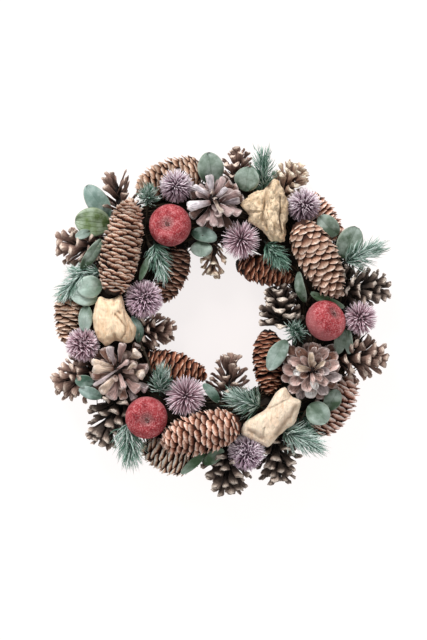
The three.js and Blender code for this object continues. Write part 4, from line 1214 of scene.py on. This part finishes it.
def smooth_outline(corners, steps):
    """A smooth closed line through corners, at evenly spaced places along it."""
    fine = []
    total = len(corners)
    for i in range(total):
        near = [Vector(corners[(i + k - 1) % total]) for k in range(4)]
        fine += [between(*near, step / CURVE_STEPS) for step in range(CURVE_STEPS)]
    spans = [(fine[(i + 1) % len(fine)] - fine[i]).length for i in range(len(fine))]
    whole = sum(spans)
    line, walked, k = [], 0.0, 0
    for step in range(steps):
        goal = whole * step / steps
        while walked + spans[k] < goal:
            walked += spans[k]
            k += 1
        line.append(fine[k].lerp(fine[(k + 1) % len(fine)], (goal - walked) / spans[k]))
    return line


def near_line(x, y, line, width):
    """1 on a line of 2-D corners, falling to 0 a few widths away."""
    best = 1e9
    for (ax, ay), (bx, by) in zip(line, line[1:]):
        dx, dy = bx - ax, by - ay
        s = max(0.0, min(1.0, ((x - ax) * dx + (y - ay) * dy) / (dx * dx + dy * dy)))
        best = min(best, math.hypot(x - ax - s * dx, y - ay - s * dy))
    return math.exp(-(best / width) ** 2)


print("Steps of a smooth line between two corners:", CURVE_STEPS)

# %% Husk form
HUSK_SIDES = 150
HUSK_FLATNESS = 0.62
FRONT_REACH = 0.25
FOLD_SHARPNESS = 7
FOLD_PAINTED_SHADE = 0.22
CRUMPLE_SIDEWAYS = 0.06
HUSK_SHARES = [1, 0.99, 0.97, 0.94, 0.9, 0.86, 0.81, 0.76, 0.71, 0.66, 0.61, 0.56, 0.5, 0.44, 0.38, 0.32,
               0.26, 0.2, 0.14, 0.09, 0.05]
HUSK_ANGLES = [math.radians(degrees) for degrees in (-64, -45, -30, -15)]
HUSK_ANGLES += [math.acos(share ** (1 / HUSK_FLATNESS)) for share in HUSK_SHARES]


def husk_mesh(name, centre, thickness, outline, creases, lift, crumple, wrinkle):
    """creases has rows of (line, width, depth, darkness), where darkness is the painted shade in the
    crease.
    lift(x, y) raises the front. wrinkle is the depth of the many small folds, which get painted shade too."""
    edge = smooth_outline(outline, HUSK_SIDES)
    sections = []
    crease_shade_rows = []
    for angle in HUSK_ANGLES:
        row = []
        crease_shade_row = []
        share = math.cos(angle) ** HUSK_FLATNESS
        front = max(0.0, math.sin(angle) + FRONT_REACH)
        for p in edge:
            x, y = p.x * share, p.y * share
            z = thickness / 2 * math.sin(angle)
            # dark is the painted shade that the finish puts in the creases and folds.
            dark = 0.0
            for line, width, depth, darkness in creases:
                near = near_line(x, y, line, width)
                z -= depth * near * front
                dark = max(dark, darkness * near)
            fold = max(0.0, 1 - FOLD_SHARPNESS * abs(noise.noise(Vector((x * 0.2, y * 0.09, 0)))))
            z += (lift(x, y) - wrinkle * fold) * front
            dark = max(dark, FOLD_PAINTED_SHADE * wrinkle * fold)
            bumps = noise.noise(Vector((x, y, z)) * 0.11) + 0.5 * noise.noise(Vector((x + 50, y, z)) * 0.3)
            push = 1 + crumple * bumps * CRUMPLE_SIDEWAYS
            row.append(Vector((x * push, y * push, z + crumple * bumps * front)))
            crease_shade_row.append(dark)
        sections.append(row)
        crease_shade_rows.append(crease_shade_row)
    mesh = skinned(name, sections, {"crease": crease_shade_rows})
    mesh.transform(Matrix.Translation(at(centre)) @ Matrix.Scale(MM, 4))
    return mesh


print("Sections of a husk:", len(HUSK_ANGLES))

# %% [markdown]
# The husks share one kind of finish: thin dry plant skin with streaks that run along the husk, some
# brown spots, fine cracks, and painted shade in the creases and folds, in the dark colour of the spots.
# The streaks and the cracks are noise that is drawn out along one direction.

# %% Husk finish
def drawn_out(tree, turn, narrow, scale, detail):
    """Noise that is drawn out along one direction and many times narrower across it."""
    place = got(tree, "ShaderNodeMapping", {
        "Vector": object_place(tree), "Rotation": (0, 0, math.radians(turn)),
        "Scale": (narrow, 1.0, narrow)})
    return got(tree, "ShaderNodeTexNoise", {"Vector": place, "Scale": scale, "Detail": detail})


def husk_finish(name, pale, warm, dirt_and_shade, turn, cracks, streak=9.0):
    """turn is the direction of the streaks, cracks is how strongly fine dark lines show. The third colour
    is that of the spots and the cracks, and the painted shade in the creases and folds.
    """
    material, tree, shader = new_finish(name, 0.68)
    pale, warm, dirt_and_shade = paint(*pale), paint(*warm), paint(*dirt_and_shade)
    streaks = stronger(drawn_out(tree, turn, streak, 60.0, 5.0), 2.4)
    clouds = speckle(tree, 55, 4.0)
    spots = speckle(tree, 210, 2.0)
    brightest = tuple(min(1.0, v * 1.12) for v in pale[:3]) + (1.0,)
    colour = ramp(streaks, [(0.05, warm), (0.4, pale), (0.9, brightest)])
    colour = mix(((clouds - 0.52) * 3.5).within_one(), colour, warm)
    colour = mix(((spots - 0.68) * 7.0).within_one() * 0.5, colour, dirt_and_shade)
    off = calc("ABSOLUTE", drawn_out(tree, turn, 2.4, 85.0, 3.0) - 0.5)
    lines = (1.0 - off * 26.0).within_one() * cracks
    colour = mix(lines, colour, dirt_and_shade)
    # The creases and folds get the dark colour as painted shade.
    give(shader, "Base Color", mix(mark(tree, "crease"), colour, dirt_and_shade))
    give(shader, "Subsurface Weight", 0.08)
    give(shader, "Subsurface Radius", (0.004, 0.003, 0.002))
    raised(shader, streaks + spots * 0.4 - lines * 3.0, 0.6, 0.0009)
    return material


PAPER = husk_finish("crumpled papery husk", (236, 212, 180), (202, 172, 136), (84, 60, 42), 10, 0.36, 3.0)
PEAR = husk_finish("smooth streaked husk", (250, 222, 190), (240, 200, 158), (138, 94, 64), -12, 0.12)
STALK = husk_finish("hollow stalk husk", (250, 228, 204), (242, 212, 182), (132, 106, 84), 40, 0.2, 4.0)
print("Finishes so far:", len(bpy.data.materials))

# %% [markdown]
# A husk's row has its centre, its thickness, its outline and its creases in millimetres, how its front is
# raised, how crumpled and how wrinkled it is, and its finish. The folded husk has a high ridge in its
# middle and a lower one in its left lobe.

# %% Husks
def level_front(x, y):
    return 0.0


def two_ridges(x, y):
    ridge = 2.5 * math.exp(-((x - 5) / 7) ** 2)
    return ridge + 2.0 * math.exp(-((x + 13) / 6) ** 2 - ((y - 2) / 12) ** 2)


HUSKS = [
    ("husk_folded", (49, 112, 51), 32,
     [(22, 0), (20, 14), (14, 29), (7, 33), (-2, 24), (-12, 21), (-26, 9), (-19, -3), (-18, -11), (-5, -18),
      (4, -29), (18, -30), (20, -14)],
     [([(-1, 20), (-3, 4), (-5, -8), (5, -26)], 1.6, 4.0, 0.45),
      ([(13, 15), (14, 4), (13, -8), (15, -22)], 1.0, 3.0, 1.0), ([(1, 26), (3, 30)], 2.2, 3.0, 1.0),
      ([(6, 14), (20, 12)], 1.2, 1.6, 0.2), ([(4, 2), (19, -3)], 1.2, 1.4, 0.2),
      ([(-24, 8), (-10, 12)], 1.2, 1.6, 0.3), ([(-20, 0), (-8, -1)], 1.4, 1.6, 0.25),
      ([(0, -14), (10, -20)], 1.2, 1.6, 0.3)],
     two_ridges, 2.0, 1.3, PAPER),
    ("husk_pear", (-112, -1, 52), 34,
     [(24, -9), (19, 0), (13, 11), (9, 25), (1, 23), (-6, 22), (-14, 24), (-19, 14), (-21, -1), (-18, -16),
      (-8, -27), (2, -22), (12, -24), (21, -21)],
     [([(3, -26), (2, -15)], 1.8, 3.0, 0.5), ([(2, 26), (1, 16)], 1.5, 2.0, 0.4),
      ([(12, 8), (16, -8), (14, -20)], 0.9, 1.6, 0.5), ([(17, -2), (20, -14)], 0.8, 1.4, 0.6),
      ([(3, 6), (9, -1), (14, -7), (13, -14), (9, -20)], 0.9, 1.8, 0.8),
      ([(13, 2), (17, -7), (16, -16)], 3.4, 0.2, 0.4),
      ([(-12, -22), (0, -19), (10, -22)], 1.6, 0.8, 0.4), ([(6, 9), (8, 7)], 1.2, 1.2, 0.9)],
     level_front, 0.8, 0.35, PEAR),
    ("husk_stalk", (54, -103, 51), 30,
     [(31, 15), (30, 18), (20, 23), (15.5, 31), (12.5, 31.5), (4, 25), (-6, 9), (-17, 2), (-28, -5),
      (-32, -15), (-30, -18), (-17, -25), (-6, -31), (-2, -30), (10, -17), (23, -7), (28, 4)],
     [([(21, 30), (18, 20), (6, 14), (-3, 10)], 0.7, 1.5, 0.5),
      ([(-8, -11), (-9, -17), (-7, -24)], 0.8, 1.4, 0.6),
      ([(-24, -13), (-17, -17), (-10, -22)], 2.4, 3.5, 0.5),
      ([(25, 13), (20, 2), (11, -8), (5, -17)], 2.6, 1.2, 0.7)],
     level_front, 0.8, 0.4, STALK),
]
for name, centre, thickness, outline, creases, lift, crumple, wrinkle, skin in HUSKS:
    form = husk_mesh(name, centre, thickness, outline, creases, lift, crumple, wrinkle)
    stands_for(dressed(name + "_skin", form, skin), name)

# %% [markdown]
# ## Sprigs of greenery
# A sprig is a thin stem with round waxy eucalyptus leaves and tufts of spruce needles. Needles follow the
# same golden angle as the scales. A leaf is a thin closed blade: its outline, its arch and the furrow of
# its midrib are easier to write as a surface than to grow, so it is mesh code.

# %% Needle tree
NEEDLE_LEAN_AT_ROOT = math.radians(62)
NEEDLE_LEAN_CLOSING = math.radians(44)
TWIG_RADIUS = 1.1 * MM
TWIG_BEFORE = 4 * MM
TWIG_AFTER = 2 * MM


def spray_profile(given, t):
    """Needles root in the axis, and the first ones lean out most. The twig starts a little before the
    first of them and ends a little after the last."""
    def core(rise):
        tall = rise * (given["Length"] + (TWIG_BEFORE + TWIG_AFTER)) - TWIG_BEFORE
        return TWIG_RADIUS - rise * (TWIG_RADIUS * 0.5), tall
    return {"radius": 0.0, "height": given["Length"] * t,
            "lean": NEEDLE_LEAN_AT_ROOT - t * NEEDLE_LEAN_CLOSING,
            "length": given["Piece length"] * chance(given, 0.78, 1.08, 9), "width": given["Piece width"],
            "core": core}


SPRAY_TREE = set_round_axis("Needle spray", spray_profile)


# %% Finishes of the greenery
def needle_finish():
    """Green from root to end, with a second, pale range of colours where frost covers it."""
    material, tree, shader = new_finish("frosted needles", 0.6)
    along, shade, frost = mark(tree, "along"), mark(tree, "shade"), mark(tree, "frost")
    green = ramp(along * 0.7 + shade * 0.3, painted([
        (0.0, (18, 30, 24)), (0.3, (56, 89, 72)), (0.7, (122, 160, 142)), (1.0, (200, 222, 209))]))
    pale = ramp(along * 0.6 + shade * 0.4, painted([
        (0.0, (46, 62, 54)), (0.3, (150, 178, 168)), (0.7, (216, 232, 226)), (1.0, (248, 252, 250))]))
    cover = ((shade - (1.0 - frost)) * 3.0).within_one()
    grains = ((speckle(tree, 500, 2.0) - 0.2) * 2.8).within_one()
    give(shader, "Base Color", mix(cover * grains, green, pale))
    raised(shader, speckle(tree, 1200), 0.3, 0.0003)
    return material


def thin_lines(place, sharpness):
    """1 on thin lines at the whole numbers, 0 between them."""
    return (1.0 - calc("ABSOLUTE", calc("SINE", place * math.pi)) * sharpness).within_one()


def leaf_finish():
    """The leaf's own tint under a pale bloom, with a rim, a midrib and veins. parallel brings out veins
    that follow the edge."""
    material, tree, shader = new_finish("waxy eucalyptus leaf", 0.55, 0.35)
    tint = mark(tree, "tint", "Color")
    across, along = mark(tree, "across"), mark(tree, "along")
    bloom = speckle(tree, 90, 4.0)
    fine = speckle(tree, 500, 3.0)
    pale = mix(0.36, tint, paint(226, 238, 234))
    deep = mix(0.85, tint, paint(120, 136, 112), "MULTIPLY")
    covered = ramp(bloom * 0.9 + along * 0.2, [(0.45, grey(0.0)), (0.78, grey(1.0))])
    colour = mix(covered, mix(along, deep, tint), pale)
    rim = ((across - 0.86) * 7.0).within_one()
    colour = mix(rim * 0.6, colour, mix(0.5, tint, paint(214, 222, 206)))
    rib = (1.0 - across * 16.0).within_one()
    veins = thin_lines(along * 9.0 + across * -3.0, 7.0)
    long_veins = thin_lines(across * 3.0, 3.0) * (mark(tree, "parallel") * 2.4)
    lines = calc("MAXIMUM", calc("MAXIMUM", rib, veins * 0.35), long_veins)
    colour = mix(lines * 0.35, colour, mix(0.6, tint, paint(60, 80, 58), "MULTIPLY"))
    colour_in(shader, colour, 0.82 + fine * 0.36)
    give(shader, "Roughness", 0.45 + bloom * 0.3)
    raised(shader, fine * 0.4 - lines, 0.35, 0.0005)
    return material


def twig_finish():
    material, tree, shader = new_finish("thin twig bark", 0.8)
    bark = speckle(tree, 300, 4.0)
    give(shader, "Base Color", ramp(bark, painted([(0.3, (34, 28, 22)), (0.7, (72, 62, 48))])))
    raised(shader, bark, 0.5, 0.0005)
    return material


NEEDLES = needle_finish()
LEAF = leaf_finish()
TWIG = twig_finish()
print("Finishes so far:", len(bpy.data.materials))

# %% Leaf and stem forms
LEAF_ROWS = 18
LEAF_ACROSS = 10
LEAF_EDGE = 0.35
LEAF_END = 0.012
LEAF_FOLD = 0.16
LEAF_WAVE = 0.09
LEAF_BOWL = 0.12
LEAF_ROUNDNESS = 0.5
RIB_SWELL = 0.6
RIB_WIDTH = 0.2
STEM_SIDES = 8
STEM_STEPS = 5


def on_bench(mesh):
    """Brings a mesh in bench millimetres to its place in the frame."""
    mesh.transform(Matrix.Translation(BENCH_MIDDLE) @ Matrix.Scale(MM, 4))
    return mesh


def leaf_mesh(name, base, tip, width, turn, arch, tint, parallel=0.0):
    """A closed blade from base to tip. arch raises its middle, turn tilts it about its length, and
    parallel is how strongly veins show that follow its edge."""
    start, end = Vector(base), Vector(tip)
    length = (end - start).length
    direction = (end - start).normalized()
    level = direction.cross(Vector((0, 0, 1))).normalized()
    side = Matrix.Rotation(math.radians(turn), 3, direction) @ level
    up = side.cross(direction)
    steps = [-1 + 2 * k / LEAF_ACROSS for k in range(LEAF_ACROSS + 1)]
    sections, along_rows = [], []
    for row in range(LEAF_ROWS + 1):
        t = LEAF_END + (1 - 2 * LEAF_END) * row / LEAF_ROWS
        half = width / 2 * math.sin(math.pi * t) ** LEAF_ROUNDNESS
        upper, lower = [], []
        for s in steps:
            wave = LEAF_WAVE * width * noise.noise(start * 0.3 + Vector((t * 3, s * 1.5, 0)))
            bowl = arch * math.sin(math.pi * t) - LEAF_BOWL * width * s * s
            bowl += LEAF_FOLD * width * abs(s) + wave
            thick = LEAF_EDGE * (1 + RIB_SWELL * math.exp(-(s / RIB_WIDTH) ** 2))
            place = start + direction * (length * t) + side * (half * s)
            upper.append(place + up * (bowl + thick))
            lower.append(place + up * (bowl - thick))
        sections.append(upper + lower[::-1])
        along_rows.append([t] * len(sections[-1]))
    across_rows = [[abs(s) for s in steps + steps[::-1]]] * len(sections)
    mesh = on_bench(skinned(name, sections, {"along": along_rows, "across": across_rows}))
    write_tint(mesh, tint)
    write_mark(mesh, "parallel", [parallel] * len(mesh.vertices))
    return mesh


def stem_mesh(name, route, radius):
    """A twig that thins along a smooth line through the points of a route."""
    points = [Vector(p) for p in route]
    padded = [2 * points[0] - points[1]] + points + [2 * points[-1] - points[-2]]
    line = []
    for i in range(len(padded) - 3):
        line += [between(*padded[i:i + 4], step / STEM_STEPS) for step in range(STEM_STEPS)]
    line.append(points[-1])
    sections = []
    for i, point in enumerate(line):
        ahead = (line[min(i + 1, len(line) - 1)] - line[max(i - 1, 0)]).normalized()
        side = ahead.cross(Vector((0.3, 0.2, 1))).normalized()
        other = ahead.cross(side)
        size = radius * (1.15 - 0.4 * i / len(line))
        turns = [2 * math.pi * k / STEM_SIDES for k in range(STEM_SIDES)]
        sections.append([point + (side * math.cos(a) + other * math.sin(a)) * size for a in turns])
    return on_bench(skinned(name, sections))


print("Corners of a leaf:", (LEAF_ROWS + 1) * (LEAF_ACROSS + 1) * 2 + 2)

# %% [markdown]
# Each sprig is one node of the CAD, so its leaves, sprays and stems are joined to one piece. A leaf's row
# has its base and tip, its width, its tilt in degrees, its arch and its colour, and on one leaf how
# strongly the long veins show. A spray's row has its base and tip, the length of its needles and how much
# frost it carries. The two sprays without frost lie low and dark under the others, where white would show
# between the pieces. There their dark green also stands in for the shade between the pieces.

# %% Greens of the leaves
SAGE, PALE_SAGE, OLIVE = paint(126, 148, 132), paint(137, 158, 148), paint(108, 130, 76)
GREY_GREEN, TEAL, DEEP = paint(98, 118, 100), paint(72, 106, 90), paint(76, 98, 74)
BLUE_GREEN, FRESH, HOARY = paint(124, 150, 142), paint(92, 126, 90), paint(170, 192, 180)
print("Sage is linear", [round(value, 3) for value in SAGE[:3]])

# %% Sprigs
SPRIGS = [
    ("leaves_top_left",
     [((-117, 106, 35), (-141, 141, 37), 23, 0, 3, BLUE_GREEN),
      ((-115, 100, 35), (-153, 104, 39), 31, 0, 5, OLIVE, 1.0),
      ((-136, 92, 43), (-152, 86, 46), 10, 0, 1, PALE_SAGE)], [],
     [[(-96, 85, 33), (-110, 98, 33), (-119, 108, 36)], [(-112, 99, 34), (-128, 95, 36), (-138, 92, 44)]]),
    ("greenery_top_left",
     [((-73, 68, 47), (-84, 40, 49), 8, 20, 1, FRESH)],
     [((-76, 123, 47), (-75, 130, 60), 18, 0.6), ((-69, 78, 46), (-62, 54, 50), 20, 0.5)],
     [[(-76, 124, 49), (-77, 108, 42), (-79, 94, 39), (-75, 80, 41), (-68, 74, 46)],
      [(-77, 82, 41), (-74, 74, 44), (-73, 67, 47)]]),
    ("leaf_top", [((-8, 142, 32), (-13, 176, 38), 28, 8, 4, GREY_GREEN)], [],
     [[(-8, 126, 33), (-8, 136, 32), (-9, 146, 33)]]),
    ("greenery_top", [((27, 134, 42), (31, 160, 44), 27, -10, 4, GREY_GREEN)],
     [((46, 140, 33), (45, 165, 37), 21, 0.45), ((38, 126, 31), (48, 140, 31), 13, 0.0)],
     [[(36, 124, 33), (42, 134, 32), (46, 144, 33)], [(38, 128, 33), (33, 134, 36), (27, 138, 42)]]),
    ("leaves_hole_top",
     [((-30, 91, 44), (-3, 84, 46), 17, -18, 3, TEAL), ((-19, 82, 43), (-20, 65, 44), 23, 0, 3, SAGE)], [],
     [[(-22, 95, 33), (-19, 86, 39), (-19, 78, 44)], [(-20, 89, 37), (-18, 87, 49)]]),
    ("greenery_left",
     [((-146, 52, 48), (-124, 84, 49), 13, 15, 3, DEEP), ((-124, 35, 46), (-150, 32, 52), 24, 0, 4, HOARY),
      ((-128, 20, 46), (-157, 26, 48), 18, 0, 3, HOARY),
      ((-140, 15, 46), (-142, -14, 49), 15, 0, 2, PALE_SAGE)],
     [((-143, 48, 46), (-160, 30, 46), 20, 0.85), ((-126, 49, 43), (-148, 51, 44), 14, 0.7)],
     [[(-120, 44, 31), (-132, 44, 38), (-140, 50, 46), (-146, 58, 48)], [(-128, 44, 36), (-130, 34, 46)],
      [(-134, 46, 41), (-148, 45, 46)], [(-130, 36, 44), (-131, 24, 46), (-141, 12, 46)]]),
    ("greenery_hole_left", [((-86, -25, 41), (-93, 3, 40), 13, 38, 6, TEAL)],
     [((-62, -78, 44), (-61, -60, 56), 19, 0.6)],
     [[(-93, -20, 33), (-89, -24, 36), (-86, -23, 41)],
      [(-87, -23, 41), (-80, -33, 42), (-75, -46, 43), (-70, -62, 42), (-61, -74, 45)]]),
    ("leaves_left_lower",
     [((-132, -67, 50), (-152, -64, 52), 14, 0, 2, TEAL),
      ((-124, -82, 49), (-148, -73, 51), 13, 0, 3, BLUE_GREEN)], [],
     [[(-110, -80, 31), (-120, -84, 39), (-126, -82, 49)],
      [(-122, -84, 42), (-130, -74, 49), (-134, -67, 50)]]),
    ("greenery_right_upper",
     [((124, 88, 45), (104, 108, 44), 21, -10, 4, GREY_GREEN),
      ((127, 64, 42), (144, 97, 44), 27, 10, 4, DEEP)],
     [((132, 60, 44), (157, 71, 47), 23, 0.75)],
     [[(113, 62, 33), (124, 62, 35), (134, 61, 44)], [(126, 62, 38), (124, 78, 43), (124, 90, 45)]]),
    ("needles_hole_top", [], [((48, 79, 45), (60, 64, 52), 20, 0.15)],
     [[(60, 88, 35), (54, 84, 40), (48, 79, 45)]]),
    ("leaves_right",
     [((90, 17, 42), (83, 50, 43), 12, -30, 5, DEEP), ((95, 28, 44), (131, 12, 46), 11, 24, 3, FRESH),
      ((129, -8, 44), (123, -37, 46), 14, -15, 2, DEEP), ((134, -9, 44), (136, -37, 45), 10, 20, 1, SAGE)],
     [],
     [[(93, 14, 33), (91, 18, 38), (89, 23, 46)], [(91, 17, 36), (96, 24, 41), (100, 25, 46)],
      [(125, 15, 47), (126, 2, 39), (130, -11, 45)], [(128, -6, 43), (134, -12, 45)]]),
    ("greenery_hole_right", [((70, -22, 47), (51, -54, 50), 19, 12, 5, PALE_SAGE)],
     [((79, -14, 42), (79, -12, 60), 17, 0.6)],
     [[(88, -20, 24), (81, -17, 33), (79, -14, 44)], [(80, -16, 38), (76, -20, 43), (68, -24, 47)]]),
    ("greenery_right_lower",
     [((93, -90, 47), (113, -108, 50), 25, 0, 4, SAGE), ((112, -96, 46), (124, -74, 47), 18, 0, 3, DEEP)],
     [((66, -118, 44), (94, -130, 46), 25, 0.95), ((82, -100, 31), (96, -119, 30), 15, 0.0)],
     [[(93, -92, 46), (86, -104, 43), (79, -115, 43), (69, -123, 44)], [(86, -104, 42), (80, -98, 32)],
      [(94, -93, 46), (104, -98, 44), (114, -94, 46)]]),
    ("leaves_bottom",
     [((-15, -141, 38), (-41, -163, 41), 10, 0, 1, FRESH),
      ((-17, -153, 39), (4, -137, 42), 13, 0, 2, FRESH)], [],
     [[(-8, -126, 32), (-14, -134, 34), (-15, -143, 38)],
      [(-14, -138, 36), (-18, -148, 37), (-17, -155, 39)]]),
    ("greenery_hole_bottom", [((-1, -88, 44), (-18, -68, 46), 11, 20, 3, TEAL)],
     [((42, -92, 46), (22, -84, 53), 24, 0.7)],
     [[(44, -92, 34), (43, -93, 40), (40, -90, 46)],
      [(42, -93, 38), (30, -95, 39), (12, -93, 39), (-2, -87, 44)]]),
    ("needles_bottom_left", [], [((-97, -109, 42), (-94, -136, 43), 27, 0.6)],
     [[(-99, -96, 33), (-99, -108, 37), (-97, -118, 42)]]),
]
STEM_RADIUS = 1.1
NEEDLES_PER_MM = 7.5
NEEDLES_AT_TIP = 40
SHORTEST_SPRAY = 20
NEEDLE_WIDTH = 0.66
for number, (name, leaves, sprays, stems) in enumerate(SPRIGS):
    parts = [dressed(name + "_stem", stem_mesh("stem", route, STEM_RADIUS), TWIG) for route in stems]
    parts += [dressed(name + "_leaf", leaf_mesh("leaf", *leaf), LEAF) for leaf in leaves]
    for k, (base, tip, reach, frost) in enumerate(sprays):
        length = (Vector(tip) - Vector(base)).length
        count = round(max(length, SHORTEST_SPRAY) * NEEDLES_PER_MM + NEEDLES_AT_TIP)
        parts.append(grown(name + "_spray", SPRAY_TREE, {
            "Pattern": needle, "Finish": NEEDLES, "Count": count, "Length": length * MM,
            "Piece length": reach * MM, "Piece width": NEEDLE_WIDTH * MM, "Loose": 0.22,
            "Ragged": 7 * MM, "Seed": 300 + number * 7 + k, "Frost": frost, "Base": at(base),
            "Tip": at(tip)}))
    stands_for(joined(name + "_foliage", parts), name)

# %% [markdown]
# ## The ring
# What holds everything is a ring of straw, bound tight and flat on its back. It hardly shows, but in the
# gaps between the cones it must not look like a hole, so its straw is nearly black: dark straw and painted
# shade of the deep gaps in one. The body keeps the CAD's half round section, and a second tree lays
# straws along it.

# %% Ring body
RING_RADIUS = 114
RING_HALF_WIDTH = 31
RING_HEIGHT = 37
RING_SIDES = 144
RING_CORNERS = 17
RING_UNEVENNESS = 0.03
BINDINGS = 36
BINDING_DEPTH = 0.015


def ring_mesh():
    """The bindings press the straw in all the way round, and noise makes it a little uneven."""
    corners = []
    for step in range(RING_SIDES):
        turn = 2 * math.pi * step / RING_SIDES
        out = Vector((math.cos(turn), math.sin(turn), 0))
        for k in range(RING_CORNERS):
            angle = math.pi * k / (RING_CORNERS - 1)
            field = Vector((math.cos(turn) * 9, math.sin(turn) * 9, angle * 3))
            swell = 1 + RING_UNEVENNESS * noise.noise(field)
            swell += BINDING_DEPTH * math.cos(turn * BINDINGS)
            corners.append(out * (RING_RADIUS + RING_HALF_WIDTH * math.cos(angle) * swell)
                           + Vector((0, 0, RING_HEIGHT * math.sin(angle) * swell)))
    faces = []
    for step in range(RING_SIDES):
        here, there = step * RING_CORNERS, (step + 1) % RING_SIDES * RING_CORNERS
        for k in range(RING_CORNERS):
            after = (k + 1) % RING_CORNERS
            faces.append((here + k, there + k, there + after, here + after))
    mesh = bpy.data.meshes.new("ring body")
    mesh.from_pydata(corners, [], faces)
    face_outwards(mesh)
    return on_bench(mesh)


def straw_and_gap_shade_finish():
    material, tree, shader = new_finish("bound straw, dark as painted shade of the gaps", 0.85, 0.2)
    fibres = speckle(tree, 260, 5.0)
    # Nearly black, so that where the straw shows between the pieces it also stands for the shade of the
    # gaps: painted shade.
    colour = ramp(fibres * 0.6 + mark(tree, "shade") * 0.4, painted([
        (0.2, (16, 12, 9)), (0.5, (40, 31, 22)), (0.85, (80, 64, 46))]))
    give(shader, "Base Color", colour)
    raised(shader, fibres + mark(tree, "along"), 0.6, 0.001)
    return material


STRAW = straw_and_gap_shade_finish()
ring_body = dressed("ring body", ring_mesh(), STRAW)
print("Ring body:", len(ring_body.data.polygons), "faces")

# %% [markdown]
# The straws lie along the ring, each a little astray. One tree lays both the bound straws, which are long,
# and the loose bits on top of them, which are short and point nearly anywhere.

# %% Straw tree
FIRST_SIDE, LAST_SIDE = 0.35, 2.8
STEEPEST_STRAW = 0.12
STRAW_TREE, given = new_tree("Bound straw", [
    ("Pattern", "Object", None), ("Finish", "Material", None), ("Count", "Int", 1200), ("Seed", "Int", 0),
    ("Ring radius", "Float", 0.114), ("Half width", "Float", 0.031), ("Height", "Float", 0.037),
    ("Straw length", "Float", 0.04), ("Straw width", "Float", 0.0016), ("Stray", "Float", 0.45),
    ("Middle", "Vector", (0, 0, 0))])
round_turn = got(STRAW_TREE, "GeometryNodeInputIndex") / given["Count"] * (2 * math.pi)
section_turn = chance(given, FIRST_SIDE, LAST_SIDE, 1)
distance = given["Ring radius"] + given["Half width"] * calc("COSINE", section_turn)
height = given["Height"] * calc("SINE", section_turn)
spot = vector_of(distance * calc("COSINE", round_turn), distance * calc("SINE", round_turn), height)
heading = round_turn + (math.pi / 2 + given["Stray"] * chance(given, -1.0, 1.0, 2))
forward = vector_of(calc("COSINE", heading), calc("SINE", heading),
                    chance(given, -STEEPEST_STRAW, STEEPEST_STRAW, 3))
size = vector_of(given["Straw width"], given["Straw length"], given["Straw width"])
straws = copies_at(STRAW_TREE, given, spot, aimed(STRAW_TREE, forward, spot), size,
                   {"shade": chance(given, 0.0, 1.0, 4)})
placed = got(STRAW_TREE, "GeometryNodeTransform", {"Geometry": straws, "Translation": given["Middle"]})
finish_tree(STRAW_TREE, given, got(STRAW_TREE, "GeometryNodeRealizeInstances", {0: placed}))

# %% Ring
bound = {"Pattern": straw, "Finish": STRAW, "Count": 1500, "Seed": 7, "Middle": BENCH_MIDDLE,
         "Ring radius": RING_RADIUS * MM, "Half width": (RING_HALF_WIDTH - 0.5) * MM,
         "Height": (RING_HEIGHT - 0.5) * MM}
# The loose bits reach out between the pieces, where their dark straw is also painted shade of the gaps.
gap_shade_bits = {"Count": 3000, "Seed": 11, "Ring radius": 117 * MM, "Half width": 35 * MM,
              "Height": 26 * MM, "Straw length": 11 * MM, "Straw width": 2.4 * MM, "Stray": 1.1}
straws = grown("straws", STRAW_TREE, bound)
bits = grown("loose bits", STRAW_TREE, {**bound, **gap_shade_bits})
stands_for(joined("ring_straw", [ring_body, straws, bits]), "ring")

# %% [markdown]
# ## Finish
# The patterns were only moulds, so they are thrown away.

# %% Put the moulds away and measure
for pattern in PATTERNS:
    bpy.data.objects.remove(pattern)
total = sum(len(p.vertices) - 2 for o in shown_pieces() if o.type == "MESH" for p in o.data.polygons)
print("Triangles:", total)
